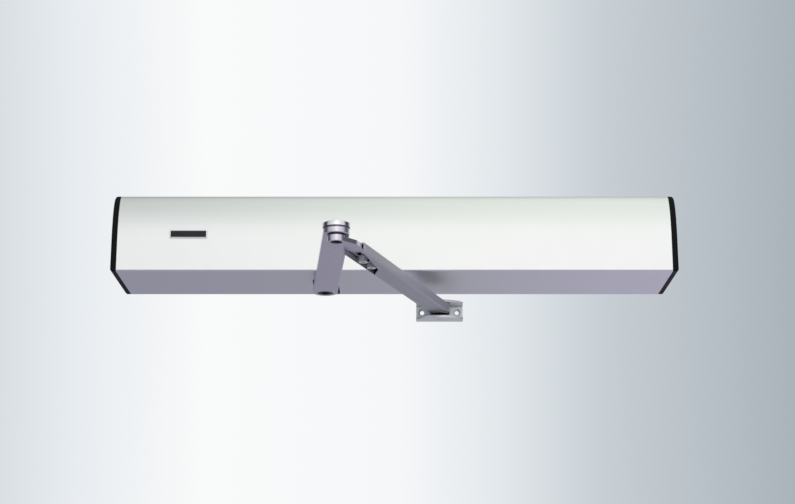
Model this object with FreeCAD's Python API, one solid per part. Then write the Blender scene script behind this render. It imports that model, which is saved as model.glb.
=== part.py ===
"""Automatic operator for a swing door, with its standard link arm.

Millimetres. The origin is the middle of the face that lies on the wall.
+X runs along the housing to the viewer's right, +Y into the wall, +Z up.
"""

import math
import os

import FreeCAD, Part
from FreeCAD import Vector

X_AXIS = Vector(1, 0, 0)
Y_AXIS = Vector(0, 1, 0)
Z_AXIS = Vector(0, 0, 1)

# Clearances
RUNNING_FIT = 0.05
SCREW_FIT = 0.05
SEAT_GAP = 0.3
BODY_GAP = 0.3
EDGE_CHAMFER = 1.0
SOCKET_SHARE = 0.6

# Housing
HOUSING_LENGTH = 690.0
HOUSING_HEIGHT = 100.0
HOUSING_DEPTH = 120.0
END_CAP_THICKNESS = 7.25
END_CAP_WALL = 3.0
END_CAP_EDGE_RADIUS = 3.5
END_CAP_COLLAR_DEPTH = 9.0
END_CAP_COLLAR_WALL = 2.0
COVER_WALL = 2.2
COVER_TOP_RADIUS = 38.0
COVER_BOTTOM_RADIUS = 2.0
COVER_BACK_GAP = 1.0
COVER_RIB_HEIGHT = 1.2
COVER_RIB_WIDTH = 4.0
COVER_STIFFENER_HEIGHT = 2.5
COVER_STIFFENER_WIDTH = 2.0
COVER_STIFFENER_LEVELS = (-16.0, 12.0)
SPINDLE_SLOT_WIDTH = 32.0

# Mounting plate on the wall
PLATE_THICKNESS = 4.0
PLATE_EDGE_GAP = 0.6
PLATE_FLANGE_DEPTH = 62.0
PLATE_FLANGE_HEIGHT = 64.0
PLATE_FLANGE_THICKNESS = 3.0
PLATE_CORNER_RADIUS = 6.0
WALL_SCREW_FROM_END = 45.0
WALL_SCREW_SPACING_Z = 64.0
WALL_SCREW_HOLE_RADIUS = 3.25
WALL_SCREW_SINK_RADIUS = 6.2
CABLE_ENTRY_Z = 0.0
CABLE_ENTRY_RADIUS = 14.0
GROMMET_LIP = 3.0
GROMMET_LIP_THICKNESS = 1.6
GROMMET_BORE_RADIUS = 9.0

# Hydraulic drive body
SPINDLE_FROM_FRONT = 49.0
BODY_WIDTH = 62.0
BODY_CORNER_RADIUS = 6.0
BODY_BOSS_RADIUS = 26.0
BODY_BOSS_REACH = 44.0
BODY_FOOT_WIDTH = 34.0
BODY_FOOT_NECK_HEIGHT = 40.0
BODY_FOOT_HEIGHT = 80.0
BODY_FOOT_THICKNESS = 8.0
BODY_FOOT_SCREW_SPACING = 64.0
BODY_SCREW_RADIUS = 3.0
BODY_SCREW_HEAD_RADIUS = 5.0
BODY_SCREW_HEAD_HEIGHT = 5.0
BODY_LEFT_FOOT_INSET = 42.0
BODY_RIGHT_FOOT_INSET = 24.0
BODY_RIB_THICKNESS = 4.0
BODY_RIB_HEIGHT = 2.5
BODY_RIB_FIRST = 80.0
BODY_RIB_PITCH = 18.0
BODY_RIB_COUNT = 4
PLUG_THICKNESS = 10.0

# Rack piston and pinion
PISTON_RADIUS = 23.0
GEAR_PRESSURE_ANGLE = math.radians(20.0)
PINION_MODULE = 2.0
PINION_TEETH = 12
PINION_WIDTH = 20.0
RACK_ADDENDUM = 1.3
TOOTH_BACKLASH = 0.16
GEAR_ROOM = 1.0
RACK_TEETH_RIGHT = 3
SPINDLE_TRAVEL = math.radians(130.0)
WINDOW_END_GAP = 2.0
PISTON_END_SPACE = 6.92
PISTON_HEAD_LEFT = 18.0
PISTON_HEAD_RIGHT = 20.0
PISTON_SEAL_WIDTH = 3.0
PISTON_SEAL_DEPTH = 2.0
CHECK_VALVE_RADIUS = 3.0

# Closing spring and its adjuster
SPRING_SPACE = 116.7
SPRING_WIRE_RADIUS = 3.1
SPRING_OUTER_RADIUS = 21.0
SPRING_TURNS = 8
SPRING_SPIGOT_GAP = 1.0
SPRING_PLATE_THICKNESS = 5.0
SPRING_ADJUST_TRAVEL = 8.0
ADJUSTER_RADIUS = 6.0
ADJUSTER_HEAD_RADIUS = 9.5
ADJUSTER_HEAD_LENGTH = 7.0
ADJUSTER_SOCKET = 8.0
ADJUSTER_TIP = 2.0
ADJUSTER_TIP_RADIUS = 4.5

# Output spindle, its bearings and seals
SPINDLE_RADIUS = 10.0
SPINDLE_TOP_REACH = 46.0
SPINDLE_SQUARE = 12.5
BEARING_OUTER_RADIUS = 18.5
BEARING_WIDTH = 9.0
BEARING_SHIELD_DEPTH = 0.8
SEAL_WIDTH = 5.0
SEAL_LIP = 3.0
SEAL_SPRING_LIP = 2.0
BEARING_CAP_RADIUS = 21.0
BEARING_CAP_WIDTH = 6.0

# Speed valves
VALVE_RADIUS = 3.0
VALVE_LENGTH = 13.0
VALVE_HEAD_RADIUS = 4.5
VALVE_HEAD_LENGTH = 3.0
VALVE_SLOT = 1.0
VALVE_POINT = 2.0
VALVE_LEVEL = 21.0
CLOSING_VALVE_X = 42.0
LATCHING_VALVE_X = 62.0

# Levels under the housing
ARM_DROP = 9.2
ARM_THICKNESS = 6.5
ARM_HUB_RISE = 7.2
ARM_LENGTH = 266.5
ARM_DIRECTION = math.radians(-85.0)
ARM_HUB_RADIUS = 15.0
ARM_END_RADIUS = 14.3
ARM_SCREW_HEAD_RADIUS = 9.6
ARM_SCREW_HEAD_HEIGHT = 4.0
ARM_SCREW_RADIUS = 4.0
ARM_SCREW_SOCKET = 10.0
ARM_SCREW_SOCKET_DEPTH = 3.0
ARM_SCREW_REACH = 22.0
ARM_EDGE_FILLET = 0.8

# Elbow
ELBOW_CAP_RADIUS = 15.0
ELBOW_CAP_THICKNESS = 5.8
ELBOW_CAP_GROOVE = 1.0
ELBOW_CAP_NECK_RADIUS = 12.6
ELBOW_CAP_EDGE = 0.4
ELBOW_SCREW_RADIUS = 5.0
ELBOW_BUSH_WALL = 2.5
EYE_RADIUS = 9.8
EYE_BOSS_RADIUS = 7.8
EYE_BOSS_HEIGHT = 1.0
EYE_SCREW_HEAD_RADIUS = 6.6
EYE_SCREW_HEAD_HEIGHT = 3.5
EYE_SCREW_RECESS = 1.5
EYE_SCREW_SOCKET = 8.0

# Forearm: slider bar of the elbow link, telescoping channel
LINK_THICKNESS = 5.0
LINK_WIDTH = 19.0
LINK_STEP_REACH = 41.0
LINK_STEP_RADIUS = 4.0
LINK_MOUTH_GAP = 2.0
LINK_FIT = 0.2
SLIDER_THICKNESS = 3.5
SLIDER_END_MARGIN = 8.0
SLIDER_CORNER_RADIUS = 2.0
SLIDER_SLOT_WIDTH = 7.0
FOREARM_OFFSET = 8.0
FOREARM_OPEN_REACH = 34.0
FOREARM_EXTEND_IN = 14.0
FOREARM_EXTEND_OUT = 45.0
CHANNEL_WIDTH = 25.0
CHANNEL_HEIGHT = 12.0
CHANNEL_WALL = 1.8
CHANNEL_CORNER_RADIUS = 2.0
CHANNEL_MOUTH_CUT = 95.0
CHANNEL_MOUTH_BEND = 76.0
CHANNEL_MOUTH_BEND_SIDE = -0.7
CHANNEL_ARM_GAP = 1.0
CLAMP_SCREW_FIRST = 36.0
CLAMP_SCREW_SPACING = 27.0
CLAMP_SCREW_SIDE = 3.0
CLAMP_SCREW_RADIUS = 3.0
CLAMP_HEAD_RADIUS = 5.0
CLAMP_HEAD_HEIGHT = 6.0
CLAMP_WASHER_RADIUS = 5.8
CLAMP_WASHER_THICKNESS = 1.0

# Door shoe and its pin
SHOE_FROM_SPINDLE_X = 142.8
SHOE_PIVOT_FROM_DOOR = 17.5
SHOE_WIDTH = 59.0
SHOE_SHEET = 3.0
SHOE_FLANGE_DEPTH = 28.0
SHOE_FLANGE_END_DEPTH = 14.0
SHOE_TOP_GAP = 0.4
SHOE_BOTTOM_GAP = 4.6
SHOE_HOLE_SPACING = 44.3
SHOE_HOLE_RADIUS = 2.75
SHOE_HOLE_SINK_RADIUS = 4.7
SHOE_PIN_RADIUS = 4.0
SHOE_PIN_HEAD_RADIUS = 6.5
SHOE_PIN_HEAD_HEIGHT = 1.4
SHOE_PIN_END = 0.5
SHOE_SPACER_RADIUS = 11.8
SHOE_SPACER_GAP = 0.15
FOREARM_BUSH_RADIUS = 6.5
FOREARM_BUSH_FLANGE_RADIUS = 11.0
FOREARM_BUSH_FLANGE = 1.4
SHOE_BEND_RADIUS = 2.0

# Gear pump on the left end of the drive body
PUMP_LENGTH = 34.0
PUMP_WIDTH = 56.0
PUMP_CORNER_RADIUS = 10.0
PUMP_MODULE = 1.5
PUMP_TEETH = 12
PUMP_ADDENDUM = 1.35
PUMP_GEAR_WIDTH = 14.0
PUMP_GEAR_GAP = 0.06
PUMP_COVER_THICKNESS = 10.0
PUMP_SHAFT_RADIUS = 4.0
PUMP_BOLT_RADIUS = 2.5
PUMP_BOLT_HEAD_RADIUS = 4.25
PUMP_BOLT_HEAD_HEIGHT = 5.0
PUMP_BOLT_SPACING = 42.0
PUMP_JOURNAL = 7.0
SHAFT_GAP = 2.0

# Electric motor
MOTOR_RADIUS = 30.0
MOTOR_LENGTH = 80.0
MOTOR_END_SPACE = 12.0
MOTOR_WALL = 3.0
MOTOR_BELL_THICKNESS = 9.0
MOTOR_BELL_LIP = 3.0
MOTOR_BELL_WALL = 2.0
MOTOR_BELL_EDGE = 2.0
MOTOR_BELL_RIM = 3.0
MOTOR_SHAFT_ROOM = 1.0
MOTOR_SHAFT_RADIUS = 4.0
MOTOR_BEARING_RADIUS = 11.0
MOTOR_BEARING_WIDTH = 7.0
MOTOR_BEARING_SHIELD = 0.6
MOTOR_LANTERN_LENGTH = 20.0
ROTOR_RADIUS = 20.4
ROTOR_LENGTH = 50.0
ROTOR_SLOTS = 10
ROTOR_SLOT_WIDTH = 2.4
ROTOR_SLOT_DEPTH = 7.0
END_TURNS = 8.0
END_TURNS_INSET = 2.0
END_TURNS_CHAMFER = 2.5
MAGNET_THICKNESS = 6.0
MAGNET_ANGLE = 130.0
COUPLING_RADIUS = 8.0
COUPLING_LENGTH = 14.0
COUPLING_SLIT = 1.5
LANTERN_RADIUS = 19.0
LANTERN_WALL = 4.0
ENCODER_RADIUS = 14.0
ENCODER_THICKNESS = 1.2
ENCODER_SLOTS = 12
ENCODER_SLOT_WIDTH = 1.4
ENCODER_SLOT_DEPTH = 3.0
ENCODER_GAP = 2.0
MOTOR_SADDLE_WIDTH = 16.0
MOTOR_FOOT_THICKNESS = 4.0

# Pressure pipe from the pump to the drive body
PIPE_RADIUS = 3.0
PIPE_WALL = 1.0
PIPE_BEND_RADIUS = 7.0
PIPE_STEM = 2.0
PIPE_PORT_INSET = 13.5
PIPE_NUT_RADIUS = 6.0
PIPE_NUT_LENGTH = 8.0

# Transformer
TRANSFORMER_GAP = 2.1
TRANSFORMER_WIDTH = 60.0
TRANSFORMER_HEIGHT = 50.0
TRANSFORMER_STACK = 30.0
TRANSFORMER_LEG = 10.0
TRANSFORMER_FROM_PLATE = 12.0
TRANSFORMER_STRAP = 1.5
TRANSFORMER_FOOT = 12.0
TRANSFORMER_STRAP_INSET = 1.0
COIL_OVERHANG = 9.0

# Control board
BOARD_GAP = 2.5
BOARD_BAY_SHARE = 0.431
BOARD_HEIGHT = 78.0
BOARD_THICKNESS = 1.6
BOARD_FROM_PLATE = 30.0
CARRIER_WALL = 2.0
CARRIER_DEPTH = 18.0
CARRIER_POST_RADIUS = 4.0
BOARD_SCREW_RADIUS = 1.5
BOARD_SCREW_INSET = 6.0
BOARD_COLUMNS = 5
COMPONENT_SHARE = 0.82
RELAY_DEPTH = 15.0
RELAY_HEIGHT = 11.0
RELAY_COUNT = 3
TERMINAL_PITCH = 5.0
TERMINAL_DEPTH = 9.0
TERMINAL_HEIGHT = 11.0
TERMINAL_FUNNEL_SHARE = 0.4
TERMINAL_CLAMP_DEPTH = 2.0
CAPACITOR_HEIGHT = 20.0
CAPACITOR_LEVEL = -4.0
CAPACITOR_WAIST_DEPTH = 0.6
CAPACITOR_WAIST_FROM_BOARD = 3.0
HEATSINK_FINS = 7
HEATSINK_FIN = 1.0
HEATSINK_BASE = 2.0
HEATSINK_DEPTH = 14.0
HEATSINK_LOW = -7.0
CHIP_SIZE = 14.0
CHIP_THICKNESS = 2.0
CHIP_TOP = -10.0

# Rocker switch in the right end cap
SWITCH_LENGTH = 27.0
SWITCH_WIDTH = 15.0
SWITCH_FROM_WALL = 88.0
SWITCH_LEVEL = 0.0
SWITCH_BEZEL = 2.0
SWITCH_BODY_DEPTH = 16.0
ROCKER_TILT = math.radians(9.0)
ROCKER_GAP = 0.3
ROCKER_WALL = 1.2
ROCKER_THICKNESS = 5.0
ROCKER_SWING = 3.0
ROCKER_CURVE = 0.8
ROCKER_DIP = 1.0
ROCKER_RECESS = 2.2
SWITCH_BLADE = 5.0
SWITCH_BLADE_THICKNESS = 0.8
SWITCH_CORNER_RADIUS = 1.0

# End cap screws
CAP_SCREW_RADIUS = 2.0
CAP_SCREW_LENGTH = 8.0
CAP_BOSS_RADIUS = 5.0
CAP_SCREW_LEVEL = 22.0
CAP_SCREW_FROM_WALL = 40.0
CAP_SCREW_HEAD_RADIUS = 3.75
CAP_SCREW_HEAD_HEIGHT = 2.4

# Places worked out from the sizes above
HALF_HEIGHT = HOUSING_HEIGHT / 2
CAP_INNER_X = HOUSING_LENGTH / 2 - END_CAP_THICKNESS
COVER_HALF_LENGTH = CAP_INNER_X - BODY_GAP
COVER_INNER_HALF = HALF_HEIGHT - COVER_WALL
PLATE_HALF_HEIGHT = COVER_INNER_HALF - COVER_RIB_HEIGHT - PLATE_EDGE_GAP
SPINDLE_Y = SPINDLE_FROM_FRONT - HOUSING_DEPTH
WALL_SCREW_SPACING_X = HOUSING_LENGTH - 2 * WALL_SCREW_FROM_END
BORE_RADIUS = PISTON_RADIUS + RUNNING_FIT
PITCH_RADIUS = PINION_MODULE * PINION_TEETH / 2
PINION_TIP_RADIUS = PITCH_RADIUS + PINION_MODULE
RACK_ROOT_DEPTH = 1.25 * PINION_MODULE
PISTON_TRAVEL = PITCH_RADIUS * SPINDLE_TRAVEL
MOTOR_LEFT = -CAP_INNER_X + MOTOR_END_SPACE
MOTOR_TUBE_LEFT = MOTOR_LEFT + MOTOR_BELL_THICKNESS
MOTOR_MIDDLE = MOTOR_TUBE_LEFT + MOTOR_LENGTH / 2
MOTOR_RIGHT = MOTOR_TUBE_LEFT + MOTOR_LENGTH + MOTOR_BELL_THICKNESS
PUMP_CENTRES = PUMP_MODULE * PUMP_TEETH
PUMP_TIP_RADIUS = PUMP_CENTRES / 2 + PUMP_ADDENDUM
PUMP_LEFT = MOTOR_RIGHT + MOTOR_LANTERN_LENGTH + PUMP_COVER_THICKNESS
PUMP_PORT_X = PUMP_LEFT + PUMP_GEAR_WIDTH / 2
BODY_LEFT = PUMP_LEFT + PUMP_LENGTH
PISTON_LEFT = BODY_LEFT + PLUG_THICKNESS + PISTON_END_SPACE
WINDOW_LEFT = PISTON_LEFT + PISTON_HEAD_LEFT
SPINDLE_X = WINDOW_LEFT + PISTON_TRAVEL + WINDOW_END_GAP + PINION_TIP_RADIUS
WINDOW_RIGHT = SPINDLE_X + PINION_TIP_RADIUS + WINDOW_END_GAP
PISTON_RIGHT = WINDOW_RIGHT + PISTON_HEAD_RIGHT
SPRING_SPIGOT_RADIUS = SPRING_OUTER_RADIUS - 2 * SPRING_WIRE_RADIUS - SPRING_SPIGOT_GAP
SPRING_PLATE_LEFT = PISTON_RIGHT + SPRING_SPACE
SPRING_PLATE_RIGHT = SPRING_PLATE_LEFT + SPRING_PLATE_THICKNESS
BODY_RIGHT = SPRING_PLATE_RIGHT + SEAT_GAP + PLUG_THICKNESS
TRANSFORMER_REACH = TRANSFORMER_WIDTH / 2 + TRANSFORMER_STRAP + TRANSFORMER_FOOT
TRANSFORMER_X = BODY_RIGHT + TRANSFORMER_GAP + TRANSFORMER_REACH
BOARD_LEFT = TRANSFORMER_X + TRANSFORMER_REACH + BOARD_GAP + CARRIER_WALL
BOARD_LENGTH = BOARD_BAY_SHARE * (CAP_INNER_X - BODY_RIGHT)
BOARD_RIGHT = BOARD_LEFT + BOARD_LENGTH
BOARD_FACE_Y = -PLATE_THICKNESS - BOARD_FROM_PLATE - BOARD_THICKNESS
CABLE_ENTRY_X = BOARD_LEFT + BOARD_LENGTH / 2
ARM_TOP = -HALF_HEIGHT - ARM_DROP
ARM_BOTTOM = ARM_TOP - ARM_THICKNESS
ELBOW_X = SPINDLE_X + ARM_LENGTH * math.cos(ARM_DIRECTION)
ELBOW_Y = SPINDLE_Y + ARM_LENGTH * math.sin(ARM_DIRECTION)
SHOE_X = SPINDLE_X + SHOE_FROM_SPINDLE_X
SHOE_PIVOT_Y = -SHOE_PIVOT_FROM_DOOR
ELBOW_TO_SHOE = math.hypot(SHOE_X - ELBOW_X, SHOE_PIVOT_Y - ELBOW_Y)
FOREARM_REACH = math.sqrt(ELBOW_TO_SHOE ** 2 - FOREARM_OFFSET ** 2)
FOREARM_DIRECTION = (math.atan2(SHOE_PIVOT_Y - ELBOW_Y, SHOE_X - ELBOW_X)
                     + math.atan2(FOREARM_OFFSET, FOREARM_REACH))
CHANNEL_TOP = ARM_BOTTOM - CHANNEL_ARM_GAP
CHANNEL_BOTTOM = CHANNEL_TOP - CHANNEL_HEIGHT
LINK_TOP = CHANNEL_TOP - CHANNEL_WALL - LINK_FIT
EYE_TOP = ARM_BOTTOM - SEAT_GAP
EYE_BOTTOM = LINK_TOP - LINK_THICKNESS
CLAMP_SEAT = LINK_TOP - SLIDER_THICKNESS - CLAMP_WASHER_THICKNESS - 2 * RUNNING_FIT
SHOE_INNER_TOP = CHANNEL_TOP + SHOE_TOP_GAP
SHOE_INNER_BOTTOM = CHANNEL_BOTTOM - SHOE_BOTTOM_GAP


def box(low, high):
    """A box between two opposite corners."""
    size = [end - start for start, end in zip(low, high)]
    return Part.makeBox(size[0], size[1], size[2], Vector(*low))


def cylinder(radius, length, start, axis=Z_AXIS):
    """A cylinder that grows from start along axis."""
    return Part.makeCylinder(radius, length, Vector(*start), axis)


def ring(outer, inner, length, start, axis=Z_AXIS):
    """A plain ring that grows from start along axis."""
    return cylinder(outer, length, start, axis).cut(cylinder(inner, length, start, axis))


def turned(outline, start, axis=Z_AXIS):
    """A solid turned from (radius, height) points about an axis through start."""
    points = [Vector(radius, 0, height) for radius, height in outline]
    wire = Part.makePolygon(points + points[:1])
    solid = Part.Face(wire).revolve(Vector(), Z_AXIS, 360)
    solid.Placement = FreeCAD.Placement(Vector(*start), FreeCAD.Rotation(Z_AXIS, axis))
    return solid


def prism(corners, start, sweep):
    """A prism from a list of corner vectors, moved to start and swept."""
    wire = Part.makePolygon([start + corner for corner in corners + corners[:1]])
    return Part.Face(wire).extrude(sweep)


def edges_along(solid, axis):
    """The straight edges that run along an axis."""
    found = []
    for edge in solid.Edges:
        if isinstance(edge.Curve, Part.Line) and abs(edge.Curve.Direction.dot(axis)) > 0.999:
            found.append(edge)
    return found


def rounded_box(low, high, radius, axis):
    """A box whose four edges along one axis are round."""
    solid = box(low, high)
    return solid.makeFillet(radius, edges_along(solid, axis))


def hexagon(across_flats, depth, start, axis=Z_AXIS):
    """A hexagonal prism that grows from start along axis."""
    radius = across_flats / math.sqrt(3)
    corners = []
    for index in range(6):
        angle = math.radians(60 * index)
        corners.append(Vector(radius * math.cos(angle), radius * math.sin(angle), 0))
    solid = prism(corners, Vector(), Vector(0, 0, depth))
    solid.Placement = FreeCAD.Placement(Vector(*start), FreeCAD.Rotation(Z_AXIS, axis))
    return solid


def socket_screw(radius, length, head_radius, head_height, seat, axis):
    """A socket head screw: the shank runs along axis from its seat, the head the other way."""
    shank = cylinder(radius, length, seat, axis)
    head = cylinder(head_radius, head_height, seat, -axis)
    crown = Vector(*seat) - axis * head_height
    socket = hexagon(head_radius, SOCKET_SHARE * head_height, crown, axis)
    return head.fuse(shank).cut(socket)


def tapered_bar(radius_a, radius_b, length, thickness):
    """A flat bar with round ends, from a circle at the origin to one along +X."""
    lean = math.acos((radius_a - radius_b) / length)
    left = Vector(math.cos(lean), math.sin(lean), 0)
    right = Vector(math.cos(lean), -math.sin(lean), 0)
    far = Vector(length, 0, 0)
    edges = [
        Part.Arc(left * radius_a, Vector(-radius_a, 0, 0), right * radius_a).toShape(),
        Part.makeLine(right * radius_a, far + right * radius_b),
        Part.Arc(far + right * radius_b, far + Vector(radius_b, 0, 0), far + left * radius_b).toShape(),
        Part.makeLine(far + left * radius_b, left * radius_a),
    ]
    return Part.Face(Part.Wire(edges)).extrude(Vector(0, 0, thickness))


def placed(shape, x, y, z, angle=0.0):
    """The shape turned about +Z by an angle in radians, then moved."""
    turn = FreeCAD.Rotation(Z_AXIS, math.degrees(angle))
    spot = FreeCAD.Placement(Vector(x, y, z), turn)
    moved = shape.copy()
    moved.Placement = spot.multiply(moved.Placement)
    return moved


def joined(shapes):
    """One solid from shapes that meet."""
    solid = shapes[0].fuse(shapes[1:])
    return solid.removeSplitter()


def housing_block(inset, left, right, back):
    """The housing's outer form drawn in by an inset, between two stations along X."""
    half = HALF_HEIGHT - inset
    front = -HOUSING_DEPTH + inset
    solid = box((left, front, -half), (right, back, half))
    for level, radius in ((half, COVER_TOP_RADIUS - inset), (-half, COVER_BOTTOM_RADIUS - inset)):
        if radius > 0:
            corner = [edge for edge in edges_along(solid, X_AXIS)
                      if abs(edge.CenterOfMass.y - front) < 0.01
                      and abs(edge.CenterOfMass.z - level) < 0.01]
            solid = solid.makeFillet(radius, corner)
    return solid


def cover():
    """The extruded C-shaped cover with its inner ribs and the slot for the spindle."""
    half = COVER_HALF_LENGTH
    back = -COVER_BACK_GAP
    shell = housing_block(0, -half, half, back).cut(housing_block(COVER_WALL, -half, half, 0))
    ribs = []
    for side in (-1, 1):
        root = side * COVER_INNER_HALF
        tip = side * (COVER_INNER_HALF - COVER_RIB_HEIGHT)
        low, high = sorted((root, tip))
        ribs.append(box((-half, back - COVER_RIB_WIDTH, low), (half, back, high)))
    front = -HOUSING_DEPTH + COVER_WALL
    for level in COVER_STIFFENER_LEVELS:
        ribs.append(box((-half, front, level - COVER_STIFFENER_WIDTH / 2),
                        (half, front + COVER_STIFFENER_HEIGHT, level + COVER_STIFFENER_WIDTH / 2)))
    solid = joined([shell] + ribs)
    radius = SPINDLE_SLOT_WIDTH / 2
    floor = -HALF_HEIGHT - COVER_WALL
    depth = 2 * COVER_WALL + COVER_RIB_HEIGHT + PLATE_EDGE_GAP
    slot = cylinder(radius, depth, (SPINDLE_X, SPINDLE_Y, floor))
    slot = slot.fuse(box((SPINDLE_X - radius, SPINDLE_Y, floor),
                         (SPINDLE_X + radius, 0, floor + depth)))
    return solid.cut(slot)


def end_cap(side):
    """A moulded end cap: rounded shell, locating collar and two screw bosses."""
    inner = side * CAP_INNER_X
    outer = side * HOUSING_LENGTH / 2
    left, right = sorted((inner, outer))
    block = housing_block(0, left, right, -COVER_BACK_GAP)
    rim = [edge for edge in block.Edges
           if abs(edge.BoundBox.XMin - outer) < 0.01 and abs(edge.BoundBox.XMax - outer) < 0.01]
    block = block.makeFillet(END_CAP_EDGE_RADIUS, rim)
    collar_inset = COVER_WALL + COVER_RIB_HEIGHT + BODY_GAP
    pocket_inset = collar_inset + END_CAP_COLLAR_WALL
    collar_end = side * (CAP_INNER_X - END_CAP_COLLAR_DEPTH)
    low, high = sorted((inner, collar_end))
    collar_back = -PLATE_THICKNESS - COVER_RIB_WIDTH - COVER_BACK_GAP - SEAT_GAP
    collar = housing_block(collar_inset, low, high, collar_back)
    collar = collar.cut(housing_block(pocket_inset, low, high, 0))
    for level in COVER_STIFFENER_LEVELS:
        notch = COVER_STIFFENER_WIDTH / 2 + BODY_GAP
        collar = collar.cut(box((low, -HOUSING_DEPTH, level - notch),
                                (high, -HOUSING_DEPTH + COVER_WALL + COVER_STIFFENER_HEIGHT + BODY_GAP,
                                 level + notch)))
    pocket_left, pocket_right = sorted((inner, outer - side * END_CAP_WALL))
    pocket = housing_block(pocket_inset, pocket_left, pocket_right, collar_back)
    block = block.cut(pocket)
    parts = [block, collar]
    for level in (-CAP_SCREW_LEVEL, CAP_SCREW_LEVEL):
        boss = cylinder(CAP_BOSS_RADIUS, END_CAP_THICKNESS - END_CAP_WALL,
                        (inner, -CAP_SCREW_FROM_WALL, level), X_AXIS * side)
        parts.append(boss)
    solid = joined(parts)
    for level in (-CAP_SCREW_LEVEL, CAP_SCREW_LEVEL):
        reach = CAP_SCREW_LENGTH - PLATE_FLANGE_THICKNESS + SEAT_GAP
        hole = cylinder(CAP_SCREW_RADIUS + SCREW_FIT, reach,
                        (inner, -CAP_SCREW_FROM_WALL, level), X_AXIS * side)
        solid = solid.cut(hole)
    return solid


def right_end_cap():
    """The right end cap, with the frame and opening for the rocker switch."""
    inner = CAP_INNER_X
    outer = HOUSING_LENGTH / 2
    half_long = SWITCH_LENGTH / 2 + SWITCH_BEZEL
    half_wide = SWITCH_WIDTH / 2 + SWITCH_BEZEL
    y, z = -SWITCH_FROM_WALL, SWITCH_LEVEL
    frame = box((inner, y - half_wide, z - half_long), (outer - END_CAP_WALL, y + half_wide, z + half_long))
    solid = joined([end_cap(1), frame])
    hole = box((inner, y - SWITCH_WIDTH / 2, z - SWITCH_LENGTH / 2),
               (outer, y + SWITCH_WIDTH / 2, z + SWITCH_LENGTH / 2))
    return solid.cut(hole)


def end_cap_screws():
    """Four screws through the plate's flanges into the bosses of the end caps."""
    screws = []
    for side in (-1, 1):
        for level in (-CAP_SCREW_LEVEL, CAP_SCREW_LEVEL):
            seat = (side * (CAP_INNER_X - PLATE_FLANGE_THICKNESS), -CAP_SCREW_FROM_WALL, level)
            screws.append(socket_screw(CAP_SCREW_RADIUS, CAP_SCREW_LENGTH, CAP_SCREW_HEAD_RADIUS,
                                       CAP_SCREW_HEAD_HEIGHT, seat, X_AXIS * side))
    return Part.makeCompound(screws)


def mounting_plate():
    """The steel back plate: two end flanges, a tongue that shuts the cover's slot, and its holes."""
    half = CAP_INNER_X
    top = PLATE_HALF_HEIGHT
    sheet = rounded_box((-half, -PLATE_THICKNESS, -top), (half, 0, top), PLATE_CORNER_RADIUS, Y_AXIS)
    wide = SPINDLE_SLOT_WIDTH / 2 - BODY_GAP
    tongue = box((SPINDLE_X - wide, -PLATE_THICKNESS, -HALF_HEIGHT), (SPINDLE_X + wide, 0, -top))
    parts = [sheet, tongue]
    for side in (-1, 1):
        inner, outer = sorted((side * (half - PLATE_FLANGE_THICKNESS), side * half))
        parts.append(rounded_box((inner, -PLATE_FLANGE_DEPTH, -PLATE_FLANGE_HEIGHT / 2),
                                 (outer, -PLATE_THICKNESS / 2, PLATE_FLANGE_HEIGHT / 2),
                                 PLATE_THICKNESS / 4, X_AXIS))
    solid = joined(parts)
    sink = WALL_SCREW_SINK_RADIUS - WALL_SCREW_HOLE_RADIUS
    for x in (-WALL_SCREW_SPACING_X / 2, WALL_SCREW_SPACING_X / 2):
        for z in (-WALL_SCREW_SPACING_Z / 2, WALL_SCREW_SPACING_Z / 2):
            hole = cylinder(WALL_SCREW_HOLE_RADIUS, PLATE_THICKNESS, (x, -PLATE_THICKNESS, z), Y_AXIS)
            cone = Part.makeCone(WALL_SCREW_SINK_RADIUS, WALL_SCREW_HOLE_RADIUS, sink,
                                 Vector(x, -PLATE_THICKNESS, z), Y_AXIS)
            solid = solid.cut(hole).cut(cone)
    entry = cylinder(CABLE_ENTRY_RADIUS, PLATE_THICKNESS,
                     (CABLE_ENTRY_X, -PLATE_THICKNESS, CABLE_ENTRY_Z), Y_AXIS)
    solid = solid.cut(entry)
    for side in (-1, 1):
        for level in (-CAP_SCREW_LEVEL, CAP_SCREW_LEVEL):
            start = (side * (half - PLATE_FLANGE_THICKNESS), -CAP_SCREW_FROM_WALL, level)
            solid = solid.cut(cylinder(CAP_SCREW_RADIUS + SCREW_FIT, PLATE_FLANGE_THICKNESS,
                                       start, X_AXIS * side))
    for x, z in body_screw_places():
        solid = solid.cut(cylinder(BODY_SCREW_RADIUS + SCREW_FIT, PLATE_THICKNESS,
                                   (x, -PLATE_THICKNESS, z), Y_AXIS))
    return solid


def cable_grommet():
    """The rubber grommet in the cable entry, with a groove for the plate's edge."""
    front = PLATE_THICKNESS + GROMMET_LIP_THICKNESS
    neck = CABLE_ENTRY_RADIUS - SCREW_FIT
    lip = CABLE_ENTRY_RADIUS + GROMMET_LIP
    outline = [(GROMMET_BORE_RADIUS, 0), (neck, 0), (neck, PLATE_THICKNESS), (lip, PLATE_THICKNESS),
               (lip - GROMMET_LIP_THICKNESS, front), (GROMMET_BORE_RADIUS, front)]
    return turned(outline, (CABLE_ENTRY_X, 0, CABLE_ENTRY_Z), -Y_AXIS)


def body_foot_stations():
    """The middles of the drive body's two feet along X."""
    return (BODY_LEFT + BODY_LEFT_FOOT_INSET, BODY_RIGHT - BODY_RIGHT_FOOT_INSET)


def body_screw_places():
    """X and Z of the four screws that hold the drive body to the plate."""
    half = BODY_FOOT_SCREW_SPACING / 2
    return [(x, z) for x in body_foot_stations() for z in (-half, half)]


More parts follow.
